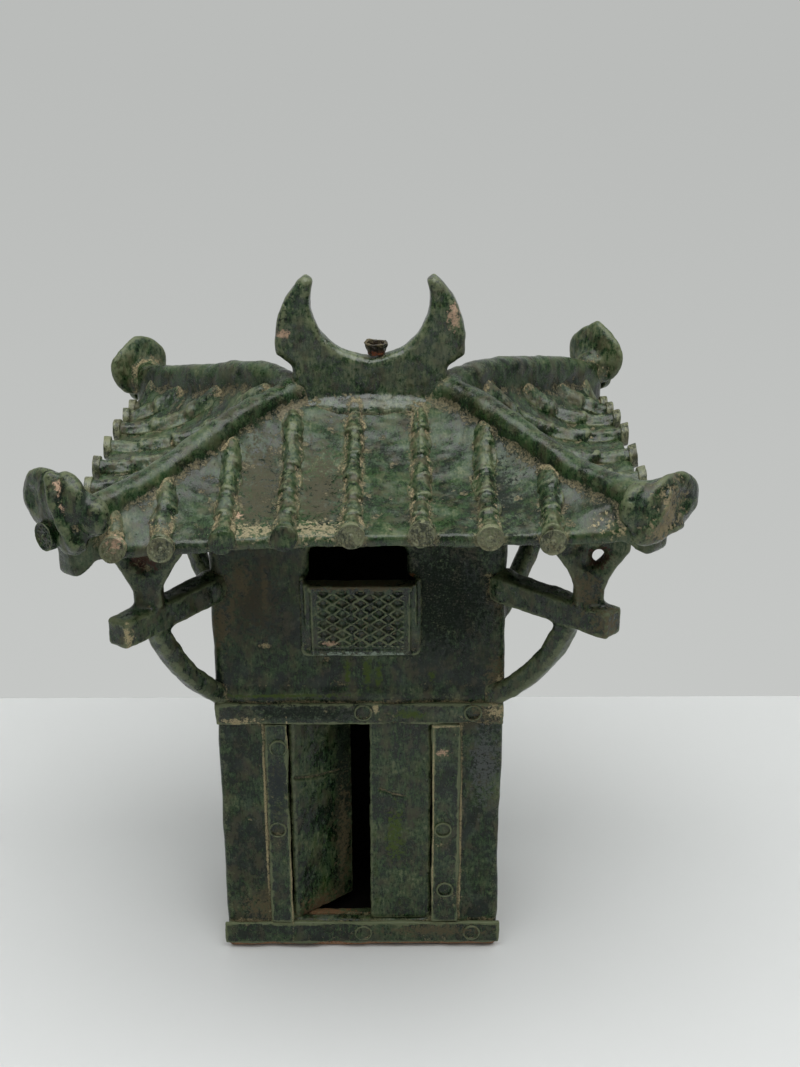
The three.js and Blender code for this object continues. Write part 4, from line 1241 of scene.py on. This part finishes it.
class WATCHTOWER_OT_tiles(bpy.types.Operator):
    """Models the rolls of half-round tiles and their end discs"""
    bl_idname = "watchtower.tiles"
    bl_label = "Tile rolls"

    def execute(self, context):
        sizes, colours = settings(context)
        dice = np.random.default_rng(7)
        tile, stamped, plain = model_tile(sizes), model_disc(sizes), model_disc(sizes, plain=True)
        roll_glaze = glaze_material("roll_glaze", colours, thickness=0.42, runs=0.3, bloom=0.3, earth=1.0,
                                    wear=1.0, stain=0.6, gloss=0.45, cling=1.2)
        disc_glaze = glaze_material("disc_glaze", colours, thickness=0.45, runs=0.0, bloom=0.2, earth=1.0,
                                    wear=1.0, stain=0.4, deep=DISC_SHADE, green=DISC_FACE)
        dark_glaze = glaze_material("plain_disc_glaze", colours, thickness=0.55, runs=0.0, bloom=0.2,
                                    earth=0.8, wear=0.7, stain=0.4)
        worn_glaze = glaze_material("worn_disc_glaze", colours, thickness=0.4, runs=0.0, bloom=0.3,
                                    earth=1.0, wear=1.0, deep=DISC_SHADE, green=DISC_FACE,
                                    chips=[((-148, -138, 357), (5, 8, 5), 1.6, colours.clay)])
        rolls = []
        for side, count in (("front", 8), ("left", 7), ("right", 6)):
            for number in range(1, count + 1):
                name = f"{side}_tile_roll_{number}"
                low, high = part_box(name)
                if side == "front":
                    across, head = (low.x + high.x) / 2, -high.y
                else:
                    across, head = (low.y + high.y) / 2, (low.x if side == "right" else -high.x)
                lift = FRONT_DISCS[number - 1] * MM if side == "front" else SIDE_LIFT
                rolls.append((side, number, across, head, lift, (name,)))
                if side == "front":
                    rolls.append(("rear", number, across, head, REAR_LIFT, ()))
        for side, number, across, head, lift, replaced in rolls:
            name = f"{side}_tile_roll_{number}"
            eave = EAVE_Y if side in ("front", "rear") else EAVE_X
            head = min(head, hip_distance(side, across) + 4 * MM) if side != "rear" else head
            run = eave - head
            count = max(1, round(run / sizes.tile_length))
            parts = []
            for index in range(count):
                start = slope_point(side, across, head + run * index / count)
                end = slope_point(side, across, head + run * (index + 1) / count)
                down = (end - start).normalized()
                level = Vector((0, 0, 1)).cross(down).normalized()
                matrix = frame_matrix(start, down, level, down.cross(level))
                stretch = (end - start).length / sizes.tile_length * 1.05
                wide, tall = dice.uniform(0.92, 1.08, 2)
                turn = Matrix.Rotation(math.radians(dice.uniform(-3, 3)), 4, "Z")
                one = copy_piece(tile, "tile_copy")
                parts.append(move_by(one, matrix @ turn @ Matrix.Diagonal((stretch, wide, tall, 1))))
                luting = ball("luting", (0, 0, 0), ((end - start).length * 0.62, 8 * MM * wide, 2.8 * MM))
                shift = Vector(((end - start).length / 2, dice.uniform(-1, 1) * MM, 0))
                parts.append(move_by(luting, matrix @ Matrix.Translation(shift)))
            roll = join(f"{side}_tiles_{number}", parts)
            fuse(roll, GRAIN["rolls"], FILLET["rolls"])
            rub(roll, sizes, 2, (9, 1.3), (3, 0.5))
            points = points_of(roll)
            out = np.abs(points[:, 1] if side in ("front", "rear") else points[:, 0])
            shown = (side in ("left", "right")) & (points[:, 1] > 0)
            sink = np.where(shown, SHOWN_HEAD, SUNK_HEAD) * MM
            points[:, 2] += hip_swell(points) - sink * np.clip(1 - (out - head) / HEAD_RISE, 0, 1)
            move_points(roll, points)
            warp_roof(roll, sizes)
            finish_marks(roll, ("rear_slope",) if side == "rear" else (name,))
            no_pattern = side == "front" and number in PLAIN_DISCS
            disc = copy_piece(plain if no_pattern else stamped, f"{side}_end_disc_{number}")
            facing = {"front": 0, "left": -90, "rear": 180, "right": 90}[side]
            place = slope_point(side, across, eave + 1.5 * MM)
            place.z = DISC_LEVEL + lift
            spin = Euler((math.radians(dice.uniform(-8, 2)), math.radians(dice.uniform(0, 360)),
                          math.radians(facing + dice.uniform(-4, 4)))).to_matrix().to_4x4()
            move_by(disc, Matrix.Translation(place) @ spin)
            knead(disc, 6 * MM, 0.5 * sizes.lump)
            warp_roof(disc, sizes)
            finish_marks(disc, ("rear_slope",) if side == "rear" else (name,), 5)
            worn = side == "front" and number == 1
            disc_finish = worn_glaze if worn else dark_glaze if no_pattern else disc_glaze
            finish_piece(disc, disc_finish)
            finish_piece(roll, roll_glaze, replaced=replaced)
        for spare in (tile, stamped, plain):
            bpy.data.objects.remove(spare)
        return {"FINISHED"}


# The corner leaves in millimetres across, outward and up from the middle of each solid: the lumps they
# are made of, the hollows scooped out of them, the folds laid on them, and how much the tip narrows
LEAVES = {
    "front_left": ((((-3, 0, 0), (27, 6.5, 21.5)), ((12, -4, 6), (16, 8, 15.5)),
                    ((25, -10, -4), (15, 9, 13)), ((13, -3, -20), (14, 9, 10))),
                   (((-14, 16, 0), (17, 13, 17)),),
                   ((((6, 3, 18), (11, 5, 5), (15, 4, -6), (22, 1, -22)), 4.2),), 0.12),
    "front_right": ((((0, 0, 0), (29, 7, 20)), ((-20, -8, 2), (15, 9, 15)), ((-14, -2, -14), (16, 9, 8))),
                    (((4, 15, 1), (21, 12, 14)),),
                    ((((-24, 2, -10), (-14, 5, 2), (-8, 4, 11)), 3.6),
                     (((-18, 3, -15), (-4, 5, -13), (8, 4, -14)), 3.2)), 0.1),
    "rear_left": ((((2, 0, 1), (26, 6.5, 23)), ((0, -9, -9), (13, 11, 14))), (), (), 0.35),
    "rear_right": ((((0, 0, 1), (26, 6.5, 25)), ((0, -9, -12), (13, 11, 14))), (), (), 0.75),
}


class WATCHTOWER_OT_leaves(bpy.types.Operator):
    """Models the upright leaves at the roof's corners"""
    bl_idname = "watchtower.leaves"
    bl_label = "Corner leaves"

    def execute(self, context):
        sizes, colours = settings(context)
        front_glaze = glaze_material(
            "leaf_glaze", colours, thickness=0.56, runs=0.2, bloom=0.2, earth=0.6, wear=0.8, stain=0.4,
            chips=[((-176, -148, 400), (3, 7, 4), 1.2, colours.clay),
                   ((-173, -147, 388), (3, 7, 4), 1.2, colours.clay),
                   ((186, -150, 386), (12, 14, 14), 1.6, LEAF_EARTH),
                   ((176, -154, 374), (7, 14, 7), 1.6, LEAF_EARTH)])
        rear_glaze = glaze_material("rear_leaf_glaze", colours, thickness=0.28, runs=0.2, bloom=0.3,
                                    earth=0.9, wear=0.9, stain=0.5)
        for corner, (lobes, hollows, folds, pinch) in LEAVES.items():
            name = corner + "_corner_leaf"
            low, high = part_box(name)
            centre = (low + high) / 2
            out = Vector((1 if "right" in corner else -1, 1 if "rear" in corner else -1, 0)).normalized()
            across = Vector((-out.y, out.x, 0))
            turn = math.atan2(across.y, across.x)

            def at(place):
                """A place on the tower from one on the leaf."""
                return centre + (across * place[0] + out * place[1]) * MM + Vector((0, 0, place[2] * MM))

            lumps = [ball("lump", at(place), Vector(radii) * MM, turn) for place, radii in lobes]
            points = points_of(lumps[0])
            offset = points - np.array(centre)
            rise = np.clip(offset[:, 2] / (0.5 * (high.z - low.z)), 0, 1.2)
            points -= np.outer(offset @ np.array(across) * pinch * rise ** 2.5, np.array(across))
            move_points(lumps[0], points)
            leaf = join(corner + "_leaf", lumps)
            fuse(leaf, GRAIN["raw leaf"], FILLET["raw leaf"])
            for place, radii in hollows:
                cut_by(leaf, ball("hollow", at(place), Vector(radii) * MM, turn))
            beads = [bead("fold", [at(stop) for stop in stops], radius * MM) for stops, radius in folds]
            leaf = join(corner + "_leaf", [leaf] + beads)
            fuse(leaf, GRAIN["leaf"], FILLET["leaf"])
            rub(leaf, sizes, 5, (14, 1.6), (5, 0.6))
            if corner != "front_right":
                disc = move_by(model_disc(sizes), Matrix.Diagonal((1.08, 1.3, 1.08, 1)))
                facing = Matrix.Rotation(math.atan2(out.x, -out.y), 4, "Z")
                move_by(disc, Matrix.Translation(at((-1, 5, -20))) @ facing)
                leaf = join(corner + "_leaf", [leaf, disc])
            finish_marks(leaf, (name,), 10)
            finish_piece(leaf, rear_glaze if "rear" in corner else front_glaze,
                         replaced=(name,))
        return {"FINISHED"}


class WATCHTOWER_OT_ridge(bpy.types.Operator):
    """Models the crescent ridge and the broken ornament in its valley"""
    bl_idname = "watchtower.ridge"
    bl_label = "Crescent ridge"

    def execute(self, context):
        sizes, colours = settings(context)
        glaze = glaze_material(
            "ridge_glaze", colours, thickness=0.46, runs=0.3, bloom=0.3, earth=0.8, wear=1.0, gloss=0.6,
            shine=(0.08, 0.28), dusk=0.3, stain=0.4,
            chips=[((-53, -7, 453), (5, 8, 3.2), 0.7, colours.clay),
                   ((59, -7, 464), (4, 8, 8), 1.1, colours.clay)])
        ridge = cast_of("crescent_horns", "crescent_ridge")
        foot = ball("foot", (RIDGE_X, 0, 401 * MM), (62 * MM, 17 * MM, 11 * MM))
        ridge = join("crescent_horns", [ridge, foot])
        fuse(ridge, GRAIN["ridge"], FILLET["ridge"])
        rub(ridge, sizes, 12, (15, 1.4), (5, 0.5))
        finish_marks(ridge, ("crescent_ridge",))
        finish_piece(ridge, glaze, replaced=("crescent_ridge",))
        clay = glaze_material("broken_clay", colours, thickness=0.8, runs=0.0, bloom=0.0, earth=0.5,
                              wear=0.5, deep=DARK_CLAY, green=BROWN_CLAY,
                              chips=[((8, -6, 437), (6, 9, 4), 1.2, BURNT_CLAY),
                                     ((4, 0, 446), (9, 14, 2), 1.8, colours.stain)])
        low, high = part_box("ridge_ornament_stub")
        bpy.ops.object.select_all(action="DESELECT")
        bpy.ops.mesh.primitive_cylinder_add(vertices=20, radius=STUB_RADIUS, depth=high.z - low.z,
                                            location=(low + high) / 2)
        stub = settle(bpy.context.object, "broken_ornament")
        pick(stub, lambda place, normal: normal.z > 0.9)
        bpy.ops.mesh.inset(thickness=STUB_WALL)
        bpy.ops.mesh.extrude_region_move(TRANSFORM_OT_translate={"value": (0, 0, -STUB_BORE)})
        leave_edit()
        pick(stub, lambda place, normal: place.z < low.z + MM, "VERT")
        bpy.ops.transform.resize(value=(STUB_FOOT, STUB_FOOT, 1), center_override=tuple((low + high) / 2))
        leave_edit()
        fuse(stub, GRAIN["stub"])
        rub(stub, sizes, 2, (5, 2.2))
        finish_marks(stub, ("ridge_ornament_stub",))
        finish_piece(stub, clay, replaced=("ridge_ornament_stub",))
        return {"FINISHED"}


def table_material(colours):
    """The table's matt paint with a faint grain."""
    material, tree = new_material("table_paint")
    clouds = noise(tree, tree.nodes.new("ShaderNodeTexCoord").outputs["Object"], 0.35, 3.0, 0.5)
    shade = tuple(channel * 0.95 for channel in colours.floor[:3]) + (1.0,)
    shader = add_node(tree, "ShaderNodeBsdfPrincipled",
                      {"Base Color": blend(tree, clouds, colours.floor, shade), "Roughness": 0.55})
    set_surface(tree, shader.outputs[0])
    return material


def wall_material(colours):
    """The wall's paint, with painted shade that darkens it towards the top, as the camera and reflections
    see it; from behind it lets the view through.
    """
    material, tree = new_material("wall_paint")
    place = tree.nodes.new("ShaderNodeTexCoord").outputs["Object"]
    clouds = noise(tree, place, 0.6, 2.0, 0.5)
    # Painted shade: the paint grows darker towards the top of the wall, where less light falls
    rise = ramp(tree, add_node(tree, "ShaderNodeSeparateXYZ", {0: place}).outputs["Z"], -0.1, 0.75)
    shade = tuple(channel * 0.86 for channel in colours.wall[:3]) + (1.0,)
    tone_and_painted_shade = maths(tree, "ADD", maths(tree, "MULTIPLY", clouds, 0.2), rise, True)
    paint = blend(tree, tone_and_painted_shade, colours.wall, shade)
    lit = add_node(tree, "ShaderNodeBsdfPrincipled", {"Base Color": paint, "Roughness": 0.7}).outputs[0]
    seen = add_node(tree, "ShaderNodeEmission", {"Color": paint, "Strength": 1.0}).outputs[0]
    rays = tree.nodes.new("ShaderNodeLightPath").outputs
    mirrored = maths(tree, "ADD", rays["Is Glossy Ray"], rays["Is Transmission Ray"])
    watched = maths(tree, "ADD", rays["Is Camera Ray"], mirrored, True)
    front = add_node(tree, "ShaderNodeMixShader", {0: watched, 1: lit, 2: seen}).outputs[0]
    behind = tree.nodes.new("ShaderNodeNewGeometry").outputs["Backfacing"]
    clear = tree.nodes.new("ShaderNodeBsdfTransparent").outputs[0]
    surface = add_node(tree, "ShaderNodeMixShader", {0: behind, 1: front, 2: clear}).outputs[0]
    set_surface(tree, surface)
    return material


class WATCHTOWER_OT_stage(bpy.types.Operator):
    """Sets the table, the wall, the lamps and the camera"""
    bl_idname = "watchtower.stage"
    bl_label = "Stage"

    def execute(self, context):
        colours = settings(context)[1]
        bpy.ops.object.select_all(action="DESELECT")
        bpy.ops.mesh.primitive_plane_add(size=STAGE_SIZE, location=(0, 0, 0))
        table = settle(bpy.context.object, "table")
        table.data.materials.append(table_material(colours))
        bpy.ops.mesh.primitive_plane_add(size=STAGE_SIZE, location=(0, WALL_BEHIND, STAGE_SIZE / 2),
                                         rotation=(math.pi / 2, 0, 0))
        wall = settle(bpy.context.object, "wall")
        wall.data.materials.append(wall_material(colours))
        for name, place, aim, size, power in LAMPS:
            bpy.ops.object.light_add(type="AREA", location=place)
            lamp = bpy.context.object
            lamp.name = name
            lamp.data.size = size
            lamp.data.energy = power
            lamp.rotation_euler = (Vector(aim) - Vector(place)).to_track_quat("-Z", "Y").to_euler()
        world = bpy.data.worlds.new("studio")
        context.scene.world = world
        world.use_nodes = True
        world.node_tree.nodes["Background"].inputs["Color"].default_value = ROOM_COLOUR
        world.node_tree.nodes["Background"].inputs["Strength"].default_value = ROOM_LIGHT
        bpy.ops.object.camera_add(location=CAMERA_PLACE,
                                  rotation=(math.radians(90 - CAMERA_PITCH), 0, math.radians(-CAMERA_YAW)))
        camera = bpy.context.object
        camera.data.lens = CAMERA_LENS
        camera.data.sensor_width = 36
        context.scene.camera = camera
        context.scene.view_settings.view_transform = "Standard"
        return {"FINISHED"}


OPERATORS = (WATCHTOWER_OT_stage, WATCHTOWER_OT_walls, WATCHTOWER_OT_trim, WATCHTOWER_OT_doors,
             WATCHTOWER_OT_window, WATCHTOWER_OT_brackets, WATCHTOWER_OT_roof, WATCHTOWER_OT_tiles,
             WATCHTOWER_OT_leaves, WATCHTOWER_OT_ridge)


class WATCHTOWER_PT_panel(bpy.types.Panel):
    """Lists the steps that build the watchtower"""
    bl_idname = "WATCHTOWER_PT_panel"
    bl_label = "Pottery watchtower"
    bl_space_type = "VIEW_3D"
    bl_region_type = "UI"
    bl_category = "Watchtower"

    def draw(self, context):
        for operator in OPERATORS:
            self.layout.operator(operator.bl_idname)


CLASSES = (WatchtowerSizes, WatchtowerColours, *OPERATORS, WATCHTOWER_PT_panel)


def register():
    """Adds the classes and the scene's settings."""
    for kind in CLASSES:
        bpy.utils.register_class(kind)
    bpy.types.Scene.watchtower_sizes = PointerProperty(type=WatchtowerSizes)
    bpy.types.Scene.watchtower_colours = PointerProperty(type=WatchtowerColours)


def unregister():
    """Takes the settings and classes away."""
    del bpy.types.Scene.watchtower_sizes
    del bpy.types.Scene.watchtower_colours
    for kind in reversed(CLASSES):
        bpy.utils.unregister_class(kind)


def main():
    """Builds the whole watchtower."""
    register()
    for operator in OPERATORS:
        getattr(bpy.ops.watchtower, operator.bl_idname.split(".")[1])()


if __name__ == "__main__":
    main()
